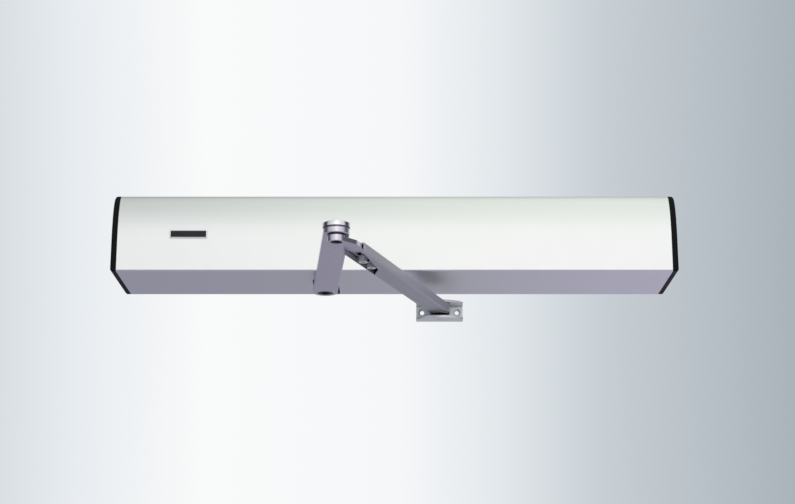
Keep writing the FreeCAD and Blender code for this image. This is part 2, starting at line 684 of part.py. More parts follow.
def drive_body():
    """The cast body: piston bore, spindle bosses, ribs, two feet and the valve holes."""
    half = BODY_WIDTH / 2
    barrel = rounded_box((BODY_LEFT, SPINDLE_Y - half, -half), (BODY_RIGHT, SPINDLE_Y + half, half),
                         BODY_CORNER_RADIUS, X_AXIS)
    boss = cylinder(BODY_BOSS_RADIUS, 2 * BODY_BOSS_REACH, (SPINDLE_X, SPINDLE_Y, -BODY_BOSS_REACH))
    parts = [barrel, boss]
    for index in range(BODY_RIB_COUNT):
        x = SPINDLE_X + BODY_RIB_FIRST + index * BODY_RIB_PITCH
        reach = half + BODY_RIB_HEIGHT
        parts.append(rounded_box((x, SPINDLE_Y - reach, -reach), (x + BODY_RIB_THICKNESS, SPINDLE_Y, reach),
                                 BODY_CORNER_RADIUS, X_AXIS))
    for x in body_foot_stations():
        wide = BODY_FOOT_WIDTH / 2
        neck = BODY_FOOT_NECK_HEIGHT / 2
        tall = BODY_FOOT_HEIGHT / 2
        parts.append(box((x - wide, SPINDLE_Y, -neck), (x + wide, -PLATE_THICKNESS, neck)))
        parts.append(rounded_box((x - wide, -PLATE_THICKNESS - BODY_FOOT_THICKNESS, -tall),
                                 (x + wide, -PLATE_THICKNESS, tall), BODY_CORNER_RADIUS, Y_AXIS))
    solid = joined(parts)
    cuts = [cylinder(BORE_RADIUS, BODY_RIGHT - BODY_LEFT, (BODY_LEFT, SPINDLE_Y, 0), X_AXIS)]
    for way in (-1, 1):
        axis = Z_AXIS * way
        mouth = (SPINDLE_X, SPINDLE_Y, way * BODY_BOSS_REACH)
        cuts.append(cylinder(BEARING_OUTER_RADIUS, BEARING_WIDTH + SEAL_WIDTH + BEARING_CAP_WIDTH,
                             mouth, -axis))
        cuts.append(cylinder(BEARING_CAP_RADIUS, BEARING_CAP_WIDTH, mouth, -axis))
        cuts.append(cylinder(PINION_TIP_RADIUS + GEAR_ROOM, BODY_BOSS_REACH, mouth, -axis))
    front = SPINDLE_Y - half
    for x in (CLOSING_VALVE_X, LATCHING_VALVE_X):
        mouth = (SPINDLE_X + x, front, VALVE_LEVEL)
        cuts.append(cylinder(VALVE_RADIUS + SCREW_FIT, VALVE_LENGTH, mouth, Y_AXIS))
    cuts.append(cylinder(PIPE_RADIUS - PIPE_WALL, half,
                         (BODY_LEFT + PIPE_PORT_INSET, SPINDLE_Y, 0), Y_AXIS))
    for x, z in body_screw_places():
        cuts.append(cylinder(BODY_SCREW_RADIUS + SCREW_FIT, BODY_FOOT_THICKNESS,
                             (x, -PLATE_THICKNESS, z), -Y_AXIS))
    for cutter in cuts:
        solid = solid.cut(cutter)
    return solid


def drive_screws():
    """Four socket screws through the body's feet and the four long ones of the pump."""
    screws = []
    for x, z in body_screw_places():
        seat = (x, -PLATE_THICKNESS - BODY_FOOT_THICKNESS, z)
        screws.append(socket_screw(BODY_SCREW_RADIUS, BODY_FOOT_THICKNESS + PLATE_THICKNESS - BODY_GAP,
                                   BODY_SCREW_HEAD_RADIUS, BODY_SCREW_HEAD_HEIGHT, seat, Y_AXIS))
    for y, z in pump_bolt_places():
        seat = (PUMP_LEFT - PUMP_COVER_THICKNESS, y, z)
        screws.append(socket_screw(PUMP_BOLT_RADIUS, PUMP_COVER_THICKNESS + PUMP_LENGTH - BODY_GAP,
                                   PUMP_BOLT_HEAD_RADIUS, PUMP_BOLT_HEAD_HEIGHT, seat, X_AXIS))
    return Part.makeCompound(screws)


def end_plug(side):
    """A threaded plug in one end of the bore, with a turned flange and a seal groove."""
    mouth = BODY_LEFT if side < 0 else BODY_RIGHT
    radius = PISTON_RADIUS
    groove = radius - PISTON_SEAL_DEPTH
    middle = PLUG_THICKNESS / 2
    outline = [(0, 0), (radius, 0), (radius, middle - PISTON_SEAL_WIDTH / 2),
               (groove, middle - PISTON_SEAL_WIDTH / 2), (groove, middle + PISTON_SEAL_WIDTH / 2),
               (radius, middle + PISTON_SEAL_WIDTH / 2), (radius, PLUG_THICKNESS), (0, PLUG_THICKNESS)]
    return turned(outline, (mouth, SPINDLE_Y, 0), X_AXIS * -side)


def right_end_plug():
    """The right plug, bored for the spring adjuster."""
    hole = cylinder(ADJUSTER_RADIUS + RUNNING_FIT, PLUG_THICKNESS, (BODY_RIGHT, SPINDLE_Y, 0), -X_AXIS)
    return end_plug(1).cut(hole)


def plug_seals():
    """The rubber rings of both end plugs."""
    rings = []
    for middle in (BODY_LEFT + PLUG_THICKNESS / 2, BODY_RIGHT - PLUG_THICKNESS / 2):
        rings.append(ring(PISTON_RADIUS, PISTON_RADIUS - PISTON_SEAL_DEPTH, PISTON_SEAL_WIDTH,
                          (middle - PISTON_SEAL_WIDTH / 2, SPINDLE_Y, 0), X_AXIS))
    return Part.makeCompound(rings)


def involute_point(base_radius, radius):
    """Angle of the involute of a base circle where it reaches a radius."""
    roll = math.acos(min(1.0, base_radius / radius))
    return math.tan(roll) - roll


def polar(radius, angle):
    """A point of the XY plane from its radius and angle."""
    return Vector(radius * math.cos(angle), radius * math.sin(angle), 0)


def spur_gear(module, teeth, addendum, backlash, width, first_tooth):
    """A spur gear along +Z; one tooth's middle stands at the angle first_tooth."""
    pitch = module * teeth / 2
    base = pitch * math.cos(GEAR_PRESSURE_ANGLE)
    tip = pitch + addendum
    root = pitch - 1.25 * module
    half_tooth = (math.pi / 2 - backlash / module) / teeth + involute_point(base, pitch)
    middle = (base + tip) / 2
    edges = []
    for index in range(teeth):
        axis = first_tooth + 2 * math.pi * index / teeth
        flank = [half_tooth - involute_point(base, radius) for radius in (base, middle, tip)]
        following = axis + 2 * math.pi / teeth
        left = [polar(radius, axis - angle) for radius, angle in zip((base, middle, tip), flank)]
        right = [polar(radius, axis + angle) for radius, angle in zip((base, middle, tip), flank)]
        root_in = polar(root, axis - flank[0])
        root_out = polar(root, axis + flank[0])
        root_next = polar(root, following - flank[0])
        edges.append(Part.makeLine(root_in, left[0]))
        edges.append(Part.Arc(left[0], left[1], left[2]).toShape())
        edges.append(Part.Arc(left[2], polar(tip, axis), right[2]).toShape())
        edges.append(Part.Arc(right[2], right[1], right[0]).toShape())
        edges.append(Part.makeLine(right[0], root_out))
        bottom = polar(root, axis + math.pi / teeth)
        edges.append(Part.Arc(root_out, bottom, root_next).toShape())
    return Part.Face(Part.Wire(edges)).extrude(Vector(0, 0, width))


def rack_teeth():
    """The rack's teeth on the piston's front rail, one under the pinion at rest."""
    pitch = math.pi * PINION_MODULE
    lean = math.tan(GEAR_PRESSURE_ANGLE)
    line = SPINDLE_Y - PITCH_RADIUS
    half = pitch / 4 - TOOTH_BACKLASH / 2
    reach = PINION_WIDTH / 2 + GEAR_ROOM
    first = -math.ceil(PISTON_TRAVEL / pitch) - 1
    teeth = []
    for index in range(first, RACK_TEETH_RIGHT):
        x = SPINDLE_X + index * pitch
        foot = half + RACK_ROOT_DEPTH * lean
        crest = half - RACK_ADDENDUM * lean
        sink = line - RACK_ROOT_DEPTH - GEAR_ROOM
        corners = [Vector(x - foot, sink, -reach), Vector(x - foot, line - RACK_ROOT_DEPTH, -reach),
                   Vector(x - crest, line + RACK_ADDENDUM, -reach),
                   Vector(x + crest, line + RACK_ADDENDUM, -reach),
                   Vector(x + foot, line - RACK_ROOT_DEPTH, -reach), Vector(x + foot, sink, -reach)]
        teeth.append(prism(corners, Vector(), Vector(0, 0, 2 * reach)))
    return teeth


def piston_seal_stations():
    """Where the two piston seals start along X."""
    return (PISTON_LEFT + PISTON_HEAD_LEFT / 2, PISTON_RIGHT - PISTON_HEAD_RIGHT / 2)


def rack_piston():
    """The piston: two sealed heads, the window for the pinion and the rack along its front."""
    solid = cylinder(PISTON_RADIUS, PISTON_RIGHT - PISTON_LEFT, (PISTON_LEFT, SPINDLE_Y, 0), X_AXIS)
    front = SPINDLE_Y - PITCH_RADIUS - RACK_ROOT_DEPTH
    back = SPINDLE_Y + PINION_TIP_RADIUS + WINDOW_END_GAP
    solid = solid.cut(box((WINDOW_LEFT, front, -PISTON_RADIUS), (WINDOW_RIGHT, back, PISTON_RADIUS)))
    for x in piston_seal_stations():
        solid = solid.cut(ring(PISTON_RADIUS, PISTON_RADIUS - PISTON_SEAL_DEPTH, PISTON_SEAL_WIDTH,
                               (x, SPINDLE_Y, 0), X_AXIS))
    solid = solid.cut(cylinder(CHECK_VALVE_RADIUS + SCREW_FIT, PISTON_HEAD_LEFT,
                               (PISTON_LEFT, SPINDLE_Y, 0), X_AXIS))
    solid = solid.fuse(cylinder(SPRING_SPIGOT_RADIUS, SPRING_WIRE_RADIUS * 2,
                                (PISTON_RIGHT, SPINDLE_Y, 0), X_AXIS))
    return joined([solid] + rack_teeth())


def piston_seals():
    """The two rubber rings of the piston heads."""
    rings = []
    for x in piston_seal_stations():
        rings.append(ring(PISTON_RADIUS, PISTON_RADIUS - PISTON_SEAL_DEPTH, PISTON_SEAL_WIDTH,
                          (x, SPINDLE_Y, 0), X_AXIS))
    return Part.makeCompound(rings)


def check_valve():
    """The small check valve cartridge in the piston's left head."""
    radius = CHECK_VALVE_RADIUS
    outline = [(radius / 3, 0), (radius, 0), (radius, PISTON_HEAD_LEFT - EDGE_CHAMFER),
               (radius / 2, PISTON_HEAD_LEFT - EDGE_CHAMFER), (radius / 2, PISTON_HEAD_LEFT / 3),
               (radius / 3, PISTON_HEAD_LEFT / 3)]
    return turned(outline, (PISTON_LEFT, SPINDLE_Y, 0), X_AXIS)


def biarc(start, start_way, end, end_way):
    """Two tangent arcs from start to end, each leaving its end along its direction."""
    chord = end - start
    both = start_way + end_way
    square = both.dot(both) - 4
    middle = -2 * chord.dot(both)
    reach = (-middle - math.sqrt(middle ** 2 - 4 * square * chord.dot(chord))) / (2 * square)
    first = start + start_way * reach
    last = end - end_way * reach
    joint = (first + last) * 0.5
    arcs = []
    for near, corner, far in ((start, first, joint), (joint, last, end)):
        centre = (near + far) * 0.5
        half = (far - near).Length / 2
        turn = math.acos(half / reach)
        rise = (corner - centre).normalize() * (half * math.tan(turn / 2))
        arcs.append(Part.Arc(near, centre + rise, far).toShape())
    return arcs


def closing_spring():
    """The closing spring, one unbroken tube of biarcs, between piston and spring plate."""
    radius = SPRING_OUTER_RADIUS - SPRING_WIRE_RADIUS
    start = PISTON_RIGHT + SEAT_GAP + SPRING_WIRE_RADIUS
    length = SPRING_PLATE_LEFT - SEAT_GAP - SPRING_WIRE_RADIUS - start
    quarters = 4 * SPRING_TURNS
    lead = length / quarters * 2 / math.pi
    edges = []
    for index in range(quarters):
        ends = []
        for step in (index, index + 1):
            angle = step * math.pi / 2
            spot = Vector(start + length * step / quarters, SPINDLE_Y + radius * math.cos(angle),
                          radius * math.sin(angle))
            way = Vector(lead, -radius * math.sin(angle), radius * math.cos(angle)).normalize()
            ends.extend((spot, way))
        edges.extend(biarc(*ends))
    print("closing spring: least gap between turns", round(length / SPRING_TURNS - 2 * SPRING_WIRE_RADIUS, 2))
    circle = Part.Circle(edges[0].valueAt(0), Vector(lead, 0, radius), SPRING_WIRE_RADIUS)
    section = Part.Wire(circle.toShape())
    return Part.Wire(edges).makePipeShell([section], True, True)


def spring_plate():
    """The plate that carries the spring's far end and travels on the adjuster's thread."""
    spigot = SPRING_SPIGOT_RADIUS
    hole = ADJUSTER_RADIUS + RUNNING_FIT
    outline = [(hole, 0), (PISTON_RADIUS, 0), (PISTON_RADIUS, SPRING_PLATE_THICKNESS),
               (spigot, SPRING_PLATE_THICKNESS),
               (spigot - EDGE_CHAMFER, SPRING_PLATE_THICKNESS + SPRING_WIRE_RADIUS),
               (hole, SPRING_PLATE_THICKNESS + SPRING_WIRE_RADIUS)]
    return turned(outline, (SPRING_PLATE_RIGHT, SPINDLE_Y, 0), -X_AXIS)


def spring_adjuster():
    """The adjusting screw: hexagon socket head outside the right plug, stem through the plate."""
    stem = PLUG_THICKNESS + SEAT_GAP + SPRING_PLATE_THICKNESS + SPRING_ADJUST_TRAVEL + SPRING_WIRE_RADIUS
    head = ADJUSTER_HEAD_LENGTH
    outline = [(0, -stem - ADJUSTER_TIP), (ADJUSTER_TIP_RADIUS, -stem - ADJUSTER_TIP),
               (ADJUSTER_RADIUS, -stem), (ADJUSTER_RADIUS, BODY_GAP), (ADJUSTER_HEAD_RADIUS, BODY_GAP),
               (ADJUSTER_HEAD_RADIUS, head - EDGE_CHAMFER),
               (ADJUSTER_HEAD_RADIUS - EDGE_CHAMFER, head), (0, head)]
    solid = turned(outline, (BODY_RIGHT, SPINDLE_Y, 0), X_AXIS)
    return solid.cut(hexagon(ADJUSTER_SOCKET, SOCKET_SHARE * head,
                             (BODY_RIGHT + head, SPINDLE_Y, 0), -X_AXIS))


def output_spindle():
    """The output spindle with its pinion in the middle and a square end for the arm."""
    shoulder = ARM_TOP + ARM_HUB_RISE
    radius = SPINDLE_RADIUS
    top = SPINDLE_TOP_REACH
    outline = [(0, shoulder), (radius, shoulder), (radius, top - EDGE_CHAMFER),
               (radius - EDGE_CHAMFER, top), (0, top)]
    shaft = turned(outline, (SPINDLE_X, SPINDLE_Y, 0))
    gap_below = -math.pi / 2 + math.pi / PINION_TEETH
    pinion = spur_gear(PINION_MODULE, PINION_TEETH, PINION_MODULE, 0.0, PINION_WIDTH, gap_below)
    half = SPINDLE_SQUARE / 2
    turn = Vector(math.cos(ARM_DIRECTION), math.sin(ARM_DIRECTION), 0)
    across = Vector(-turn.y, turn.x, 0)
    corners = [(turn + across) * half, (across - turn) * half,
               (turn + across) * -half, (turn - across) * half]
    low = ARM_BOTTOM + ARM_SCREW_HEAD_HEIGHT + RUNNING_FIT
    square = prism(corners, Vector(SPINDLE_X, SPINDLE_Y, low), Vector(0, 0, shoulder - low))
    solid = joined([shaft, placed(pinion, SPINDLE_X, SPINDLE_Y, -PINION_WIDTH / 2), square])
    socket = hexagon(SPINDLE_RADIUS, SPINDLE_RADIUS / 2, (SPINDLE_X, SPINDLE_Y, top), -Z_AXIS)
    tapped = cylinder(ARM_SCREW_RADIUS + SCREW_FIT, ARM_SCREW_REACH, (SPINDLE_X, SPINDLE_Y, low))
    return solid.cut(socket).cut(tapped)


def spindle_bearings():
    """The two ball bearings of the spindle, their shields set in from both faces."""
    inner = SPINDLE_RADIUS + RUNNING_FIT
    outer = BEARING_OUTER_RADIUS - SCREW_FIT
    third = (outer - inner) / 3
    step = BEARING_SHIELD_DEPTH
    width = BEARING_WIDTH - SEAT_GAP
    outline = [(inner, 0), (inner + third, 0), (inner + third, step), (outer - third, step),
               (outer - third, 0), (outer, 0), (outer, width), (outer - third, width),
               (outer - third, width - step), (inner + third, width - step),
               (inner + third, width), (inner, width)]
    depth = BODY_BOSS_REACH - BEARING_CAP_WIDTH - SEAL_WIDTH
    return Part.makeCompound([turned(outline, (SPINDLE_X, SPINDLE_Y, way * depth), Z_AXIS * -way)
                              for way in (-1, 1)])


def spindle_seals():
    """The two lipped shaft seals outside the bearings."""
    inner = SPINDLE_RADIUS + RUNNING_FIT
    outer = BEARING_OUTER_RADIUS - SCREW_FIT
    width = SEAL_WIDTH - SEAT_GAP
    outline = [(inner, width / 2), (inner + SEAL_SPRING_LIP, width), (outer, width), (outer, 0),
               (inner + SEAL_LIP, 0), (inner + SEAL_LIP, EDGE_CHAMFER)]
    seals = []
    for way in (-1, 1):
        start = (SPINDLE_X, SPINDLE_Y, way * (BODY_BOSS_REACH - BEARING_CAP_WIDTH))
        seals.append(turned(outline, start, Z_AXIS * -way))
    return Part.makeCompound(seals)


def bearing_caps():
    """The two threaded rings that hold the bearings, with spanner slots."""
    caps = []
    for way in (-1, 1):
        start = (SPINDLE_X, SPINDLE_Y, way * BODY_BOSS_REACH)
        cap = ring(BEARING_CAP_RADIUS - SCREW_FIT, SPINDLE_RADIUS + BODY_GAP,
                   BEARING_CAP_WIDTH - SEAT_GAP, start, Z_AXIS * -way)
        slot = BEARING_CAP_WIDTH / 2
        low, high = sorted((way * BODY_BOSS_REACH, way * (BODY_BOSS_REACH - slot / 2)))
        for cutter in (
                box((SPINDLE_X - BEARING_CAP_RADIUS, SPINDLE_Y - slot / 2, low),
                    (SPINDLE_X - BEARING_CAP_RADIUS + slot, SPINDLE_Y + slot / 2, high)),
                box((SPINDLE_X + BEARING_CAP_RADIUS - slot, SPINDLE_Y - slot / 2, low),
                    (SPINDLE_X + BEARING_CAP_RADIUS, SPINDLE_Y + slot / 2, high))):
            cap = cap.cut(cutter)
        caps.append(cap)
    return Part.makeCompound(caps)


def speed_valve(reach):
    """A speed valve: a needle in the body's front wall with a slotted head."""
    front = SPINDLE_Y - BODY_WIDTH / 2
    tip = VALVE_RADIUS / 2
    depth = VALVE_LENGTH - SEAT_GAP
    outline = [(0, -depth), (tip, -depth), (VALVE_RADIUS, -depth + VALVE_POINT), (VALVE_RADIUS, BODY_GAP),
               (VALVE_HEAD_RADIUS, BODY_GAP), (VALVE_HEAD_RADIUS, VALVE_HEAD_LENGTH), (0, VALVE_HEAD_LENGTH)]
    centre = (SPINDLE_X + reach, front, VALVE_LEVEL)
    head = turned(outline, centre, -Y_AXIS)
    half = VALVE_SLOT / 2
    slot = box((centre[0] - VALVE_HEAD_RADIUS, front - VALVE_HEAD_LENGTH, VALVE_LEVEL - half),
               (centre[0] + VALVE_HEAD_RADIUS, front - VALVE_HEAD_LENGTH / 2, VALVE_LEVEL + half))
    return head.cut(slot)


def main_arm():
    """The drive arm: a flat tapered bar with its hub at the spindle and its eye at the elbow."""
    bar = tapered_bar(ARM_HUB_RADIUS, ARM_END_RADIUS, ARM_LENGTH, ARM_THICKNESS)
    rims = [edge for edge in bar.Edges if abs(edge.BoundBox.ZMax - edge.BoundBox.ZMin) < 0.01]
    bar = bar.makeFillet(ARM_EDGE_FILLET, rims)
    hub = cylinder(ARM_HUB_RADIUS - ARM_EDGE_FILLET, ARM_HUB_RISE, (0, 0, ARM_THICKNESS))
    half = SPINDLE_SQUARE / 2 + RUNNING_FIT
    square = box((-half, -half, ARM_SCREW_HEAD_HEIGHT), (half, half, ARM_THICKNESS + ARM_HUB_RISE))
    recess = cylinder(ARM_SCREW_HEAD_RADIUS + SCREW_FIT, ARM_SCREW_HEAD_HEIGHT, (0, 0, 0))
    eye = cylinder(ELBOW_SCREW_RADIUS + ELBOW_BUSH_WALL + SCREW_FIT, ARM_THICKNESS, (ARM_LENGTH, 0, 0))
    solid = joined([bar, hub]).cut(square).cut(recess).cut(eye)
    return placed(solid, SPINDLE_X, SPINDLE_Y, ARM_BOTTOM, ARM_DIRECTION)


def arm_screw():
    """The flush socket screw that holds the arm on the spindle's square."""
    shank = cylinder(ARM_SCREW_RADIUS, ARM_SCREW_REACH, (0, 0, 0))
    head = cylinder(ARM_SCREW_HEAD_RADIUS, ARM_SCREW_HEAD_HEIGHT, (0, 0, 0))
    socket = hexagon(ARM_SCREW_SOCKET, ARM_SCREW_SOCKET_DEPTH, (0, 0, 0))
    return placed(head.fuse(shank).cut(socket), SPINDLE_X, SPINDLE_Y, ARM_BOTTOM, ARM_DIRECTION)


def elbow_bush():
    """The plain bearing bush in the arm's eye."""
    return ring(ELBOW_SCREW_RADIUS + ELBOW_BUSH_WALL, ELBOW_SCREW_RADIUS + RUNNING_FIT,
                ARM_THICKNESS, (ELBOW_X, ELBOW_Y, ARM_BOTTOM))


def elbow_cap():
    """The round nut on top of the elbow, undercut where it faces the arm."""
    low = SEAT_GAP
    high = ELBOW_CAP_THICKNESS + SEAT_GAP
    bore = ELBOW_SCREW_RADIUS + SCREW_FIT
    outline = [(bore, low), (ELBOW_CAP_NECK_RADIUS, low), (ELBOW_CAP_NECK_RADIUS, low + ELBOW_CAP_GROOVE),
               (ELBOW_CAP_RADIUS, low + ELBOW_CAP_GROOVE), (ELBOW_CAP_RADIUS, high - ELBOW_CAP_EDGE),
               (ELBOW_CAP_RADIUS - ELBOW_CAP_EDGE, high), (0, high), (0, high - EDGE_CHAMFER),
               (bore, high - EDGE_CHAMFER)]
    return turned(outline, (ELBOW_X, ELBOW_Y, ARM_TOP))


def elbow_screw():
    """The pivot screw of the elbow, its socket head sunk in the link's eye from below."""
    low = EYE_BOTTOM + EYE_SCREW_RECESS
    head = EYE_SCREW_HEAD_HEIGHT
    length = ARM_TOP + ELBOW_CAP_THICKNESS - EDGE_CHAMFER - low
    solid = cylinder(ELBOW_SCREW_RADIUS, length, (ELBOW_X, ELBOW_Y, low))
    solid = solid.fuse(cylinder(EYE_SCREW_HEAD_RADIUS, head, (ELBOW_X, ELBOW_Y, low)))
    return solid.cut(hexagon(EYE_SCREW_SOCKET, SOCKET_SHARE * head, (ELBOW_X, ELBOW_Y, low)))


def on_forearm(shape):
    """Places a shape drawn with +X along the forearm and the elbow abreast of x = 0."""
    foot_x = ELBOW_X + FOREARM_OFFSET * math.sin(FOREARM_DIRECTION)
    foot_y = ELBOW_Y - FOREARM_OFFSET * math.cos(FOREARM_DIRECTION)
    return placed(shape, foot_x, foot_y, 0, FOREARM_DIRECTION)


def elbow_link():
    """The elbow link: eye, cranked tongue with a rounded step and the slotted slider bar."""
    crank = FOREARM_OPEN_REACH - FOREARM_EXTEND_IN - LINK_MOUTH_GAP
    half = LINK_WIDTH / 2
    lean = math.atan2(-FOREARM_OFFSET, crank)
    neck = tapered_bar(EYE_RADIUS, half, math.hypot(crank, FOREARM_OFFSET), LINK_THICKNESS)
    neck = placed(neck, 0, FOREARM_OFFSET, EYE_BOTTOM, lean)
    step = LINK_STEP_REACH - LINK_STEP_RADIUS
    tongue = rounded_box((crank - LINK_STEP_RADIUS, -half, EYE_BOTTOM), (LINK_STEP_REACH, half, LINK_TOP),
                         LINK_STEP_RADIUS, Z_AXIS)
    eye = cylinder(EYE_RADIUS, EYE_TOP - EYE_BOSS_HEIGHT - EYE_BOTTOM, (0, FOREARM_OFFSET, EYE_BOTTOM))
    boss = cylinder(EYE_BOSS_RADIUS, EYE_TOP - EYE_BOTTOM, (0, FOREARM_OFFSET, EYE_BOTTOM))
    first, last = clamp_stations()
    slot_start = first - FOREARM_EXTEND_IN
    slot_length = last + FOREARM_EXTEND_OUT - slot_start
    end = slot_start + slot_length + SLIDER_SLOT_WIDTH / 2 + SLIDER_END_MARGIN
    bar = rounded_box((step - LINK_STEP_RADIUS, -half, LINK_TOP - SLIDER_THICKNESS), (end, half, LINK_TOP),
                      SLIDER_CORNER_RADIUS, Z_AXIS)
    slot = tapered_bar(SLIDER_SLOT_WIDTH / 2, SLIDER_SLOT_WIDTH / 2, slot_length, LINK_THICKNESS)
    solid = joined([neck, tongue, eye, boss, bar]).cut(placed(slot, slot_start, CLAMP_SCREW_SIDE, EYE_BOTTOM))
    bore = cylinder(ELBOW_SCREW_RADIUS + SCREW_FIT, EYE_TOP - EYE_BOTTOM, (0, FOREARM_OFFSET, EYE_BOTTOM))
    sink = cylinder(EYE_SCREW_HEAD_RADIUS + SCREW_FIT, EYE_SCREW_RECESS + EYE_SCREW_HEAD_HEIGHT,
                    (0, FOREARM_OFFSET, EYE_BOTTOM))
    return on_forearm(solid.cut(bore).cut(sink))


def clamp_stations():
    """Where the two clamp screws stand along the forearm."""
    first = FOREARM_OPEN_REACH + CLAMP_SCREW_FIRST
    return (first, first + CLAMP_SCREW_SPACING)


def forearm_channel():
    """The telescoping tube: open mouth, obliquely cut underside and a forked round end."""
    half = CHANNEL_WIDTH / 2
    tube = rounded_box((FOREARM_OPEN_REACH, -half, CHANNEL_BOTTOM), (FOREARM_REACH, half, CHANNEL_TOP),
                       CHANNEL_CORNER_RADIUS, X_AXIS)
    nose = cylinder(half, CHANNEL_HEIGHT, (FOREARM_REACH, 0, CHANNEL_BOTTOM))
    inside = half - CHANNEL_WALL
    floor = CHANNEL_BOTTOM + CHANNEL_WALL
    hollow = box((FOREARM_OPEN_REACH, -inside, floor),
                 (FOREARM_REACH + half, inside, CHANNEL_TOP - CHANNEL_WALL))
    corners = [Vector(0, -inside, 0), Vector(CHANNEL_MOUTH_BEND, CHANNEL_MOUTH_BEND_SIDE, 0),
               Vector(CHANNEL_MOUTH_CUT, inside, 0), Vector(0, inside, 0)]
    mouth = prism(corners, Vector(FOREARM_OPEN_REACH, 0, CHANNEL_BOTTOM), Vector(0, 0, CHANNEL_WALL))
    solid = joined([tube, nose]).cut(hollow).cut(mouth)
    for x in clamp_stations():
        solid = solid.cut(cylinder(CLAMP_SCREW_RADIUS + SCREW_FIT, CHANNEL_WALL,
                                   (x, CLAMP_SCREW_SIDE, CHANNEL_TOP - CHANNEL_WALL)))
    end = (FOREARM_REACH, 0, CHANNEL_BOTTOM)
    bore = cylinder(SHOE_PIN_RADIUS + RUNNING_FIT, CHANNEL_HEIGHT, end)
    seat = cylinder(FOREARM_BUSH_RADIUS + SCREW_FIT, CHANNEL_WALL, end)
    return on_forearm(solid.cut(bore).cut(seat))


def clamp_screws():
    """The two screws that clamp the slider bar to the top web of the tube."""
    screws = []
    for x in clamp_stations():
        screws.append(socket_screw(CLAMP_SCREW_RADIUS, CHANNEL_TOP - CLAMP_SEAT, CLAMP_HEAD_RADIUS,
                                   CLAMP_HEAD_HEIGHT, (x, CLAMP_SCREW_SIDE, CLAMP_SEAT), Z_AXIS))
    return on_forearm(Part.makeCompound(screws))


def clamp_washers():
    """The washers under the clamp screws' heads."""
    washers = []
    for x in clamp_stations():
        washers.append(ring(CLAMP_WASHER_RADIUS, CLAMP_SCREW_RADIUS + SCREW_FIT, CLAMP_WASHER_THICKNESS,
                            (x, CLAMP_SCREW_SIDE, CLAMP_SEAT)))
    return on_forearm(Part.makeCompound(washers))


def forearm_bush():
    """The flanged bearing bush, pushed up through the lower web at the forearm's shoe end."""
    bore = SHOE_PIN_RADIUS + RUNNING_FIT
    flange = FOREARM_BUSH_FLANGE
    high = flange + CHANNEL_HEIGHT - CHANNEL_WALL
    outline = [(bore, 0), (FOREARM_BUSH_FLANGE_RADIUS, 0), (FOREARM_BUSH_FLANGE_RADIUS, flange),
               (FOREARM_BUSH_RADIUS, flange), (FOREARM_BUSH_RADIUS, high), (bore, high)]
    return on_forearm(turned(outline, (FOREARM_REACH, 0, CHANNEL_BOTTOM - flange)))


def door_shoe():
    """The pressed door shoe: a plate with two countersunk holes and two curved flanges."""
    half = SHOE_WIDTH / 2
    left = Vector(-half, -SHOE_FLANGE_END_DEPTH, 0)
    crown = Vector(0, -SHOE_FLANGE_DEPTH, 0)
    right = Vector(half, -SHOE_FLANGE_END_DEPTH, 0)
    edges = [
        Part.makeLine(Vector(-half, 0, 0), left),
        Part.Arc(left, crown, right).toShape(),
        Part.makeLine(right, Vector(half, 0, 0)),
        Part.makeLine(Vector(half, 0, 0), Vector(-half, 0, 0)),
    ]
    low = SHOE_INNER_BOTTOM - SHOE_SHEET
    high = SHOE_INNER_TOP + SHOE_SHEET
    block = Part.Face(Part.Wire(edges)).extrude(Vector(0, 0, high - low))
    block.translate(Vector(0, 0, low))
    bends = [edge for edge in edges_along(block, X_AXIS) if abs(edge.CenterOfMass.y) < 0.01]
    block = block.makeFillet(SHOE_BEND_RADIUS, bends)
    space = box((-half, -SHOE_FLANGE_DEPTH, SHOE_INNER_BOTTOM), (half, -SHOE_SHEET, SHOE_INNER_TOP))
    solid = block.cut(space)
    middle = (SHOE_INNER_TOP + SHOE_INNER_BOTTOM) / 2
    sink = SHOE_HOLE_SINK_RADIUS - SHOE_HOLE_RADIUS
    for x in (-SHOE_HOLE_SPACING / 2, SHOE_HOLE_SPACING / 2):
        solid = solid.cut(cylinder(SHOE_HOLE_RADIUS, SHOE_SHEET, (x, -SHOE_SHEET, middle), Y_AXIS))
        solid = solid.cut(Part.makeCone(SHOE_HOLE_SINK_RADIUS, SHOE_HOLE_RADIUS, sink,
                                        Vector(x, -SHOE_SHEET, middle), Y_AXIS))
    solid = solid.cut(cylinder(SHOE_PIN_RADIUS + SCREW_FIT, high - low, (0, SHOE_PIVOT_Y, low)))
    return placed(solid, SHOE_X, 0, 0)


def shoe_pin():
    """The riveted pin of the door shoe, its head on the upper flange."""
    low = SHOE_INNER_BOTTOM - SHOE_SHEET - SHOE_PIN_END
    high = SHOE_INNER_TOP + SHOE_SHEET
    radius = SHOE_PIN_RADIUS
    head = SHOE_PIN_HEAD_RADIUS
    outline = [(0, low), (radius - SHOE_PIN_END, low), (radius, low + SHOE_PIN_END), (radius, high),
               (head, high), (head - SHOE_PIN_END, high + SHOE_PIN_HEAD_HEIGHT),
               (0, high + SHOE_PIN_HEAD_HEIGHT)]
    return turned(outline, (SHOE_X, SHOE_PIVOT_Y, 0))


def shoe_spacer():
    """The black plastic disc between the forearm's bush and the lower flange."""
    low = SHOE_INNER_BOTTOM
    high = CHANNEL_BOTTOM - FOREARM_BUSH_FLANGE - SHOE_SPACER_GAP
    return ring(SHOE_SPACER_RADIUS, SHOE_PIN_RADIUS + SCREW_FIT, high - low, (SHOE_X, SHOE_PIVOT_Y, low))


def pump_block(left, length):
    """The rounded outer block that the pump housing and its cover share."""
    half = PUMP_WIDTH / 2
    middle = -PUMP_CENTRES / 2
    return rounded_box((left, SPINDLE_Y - half, middle - half),
                       (left + length, SPINDLE_Y + half, middle + half), PUMP_CORNER_RADIUS, X_AXIS)


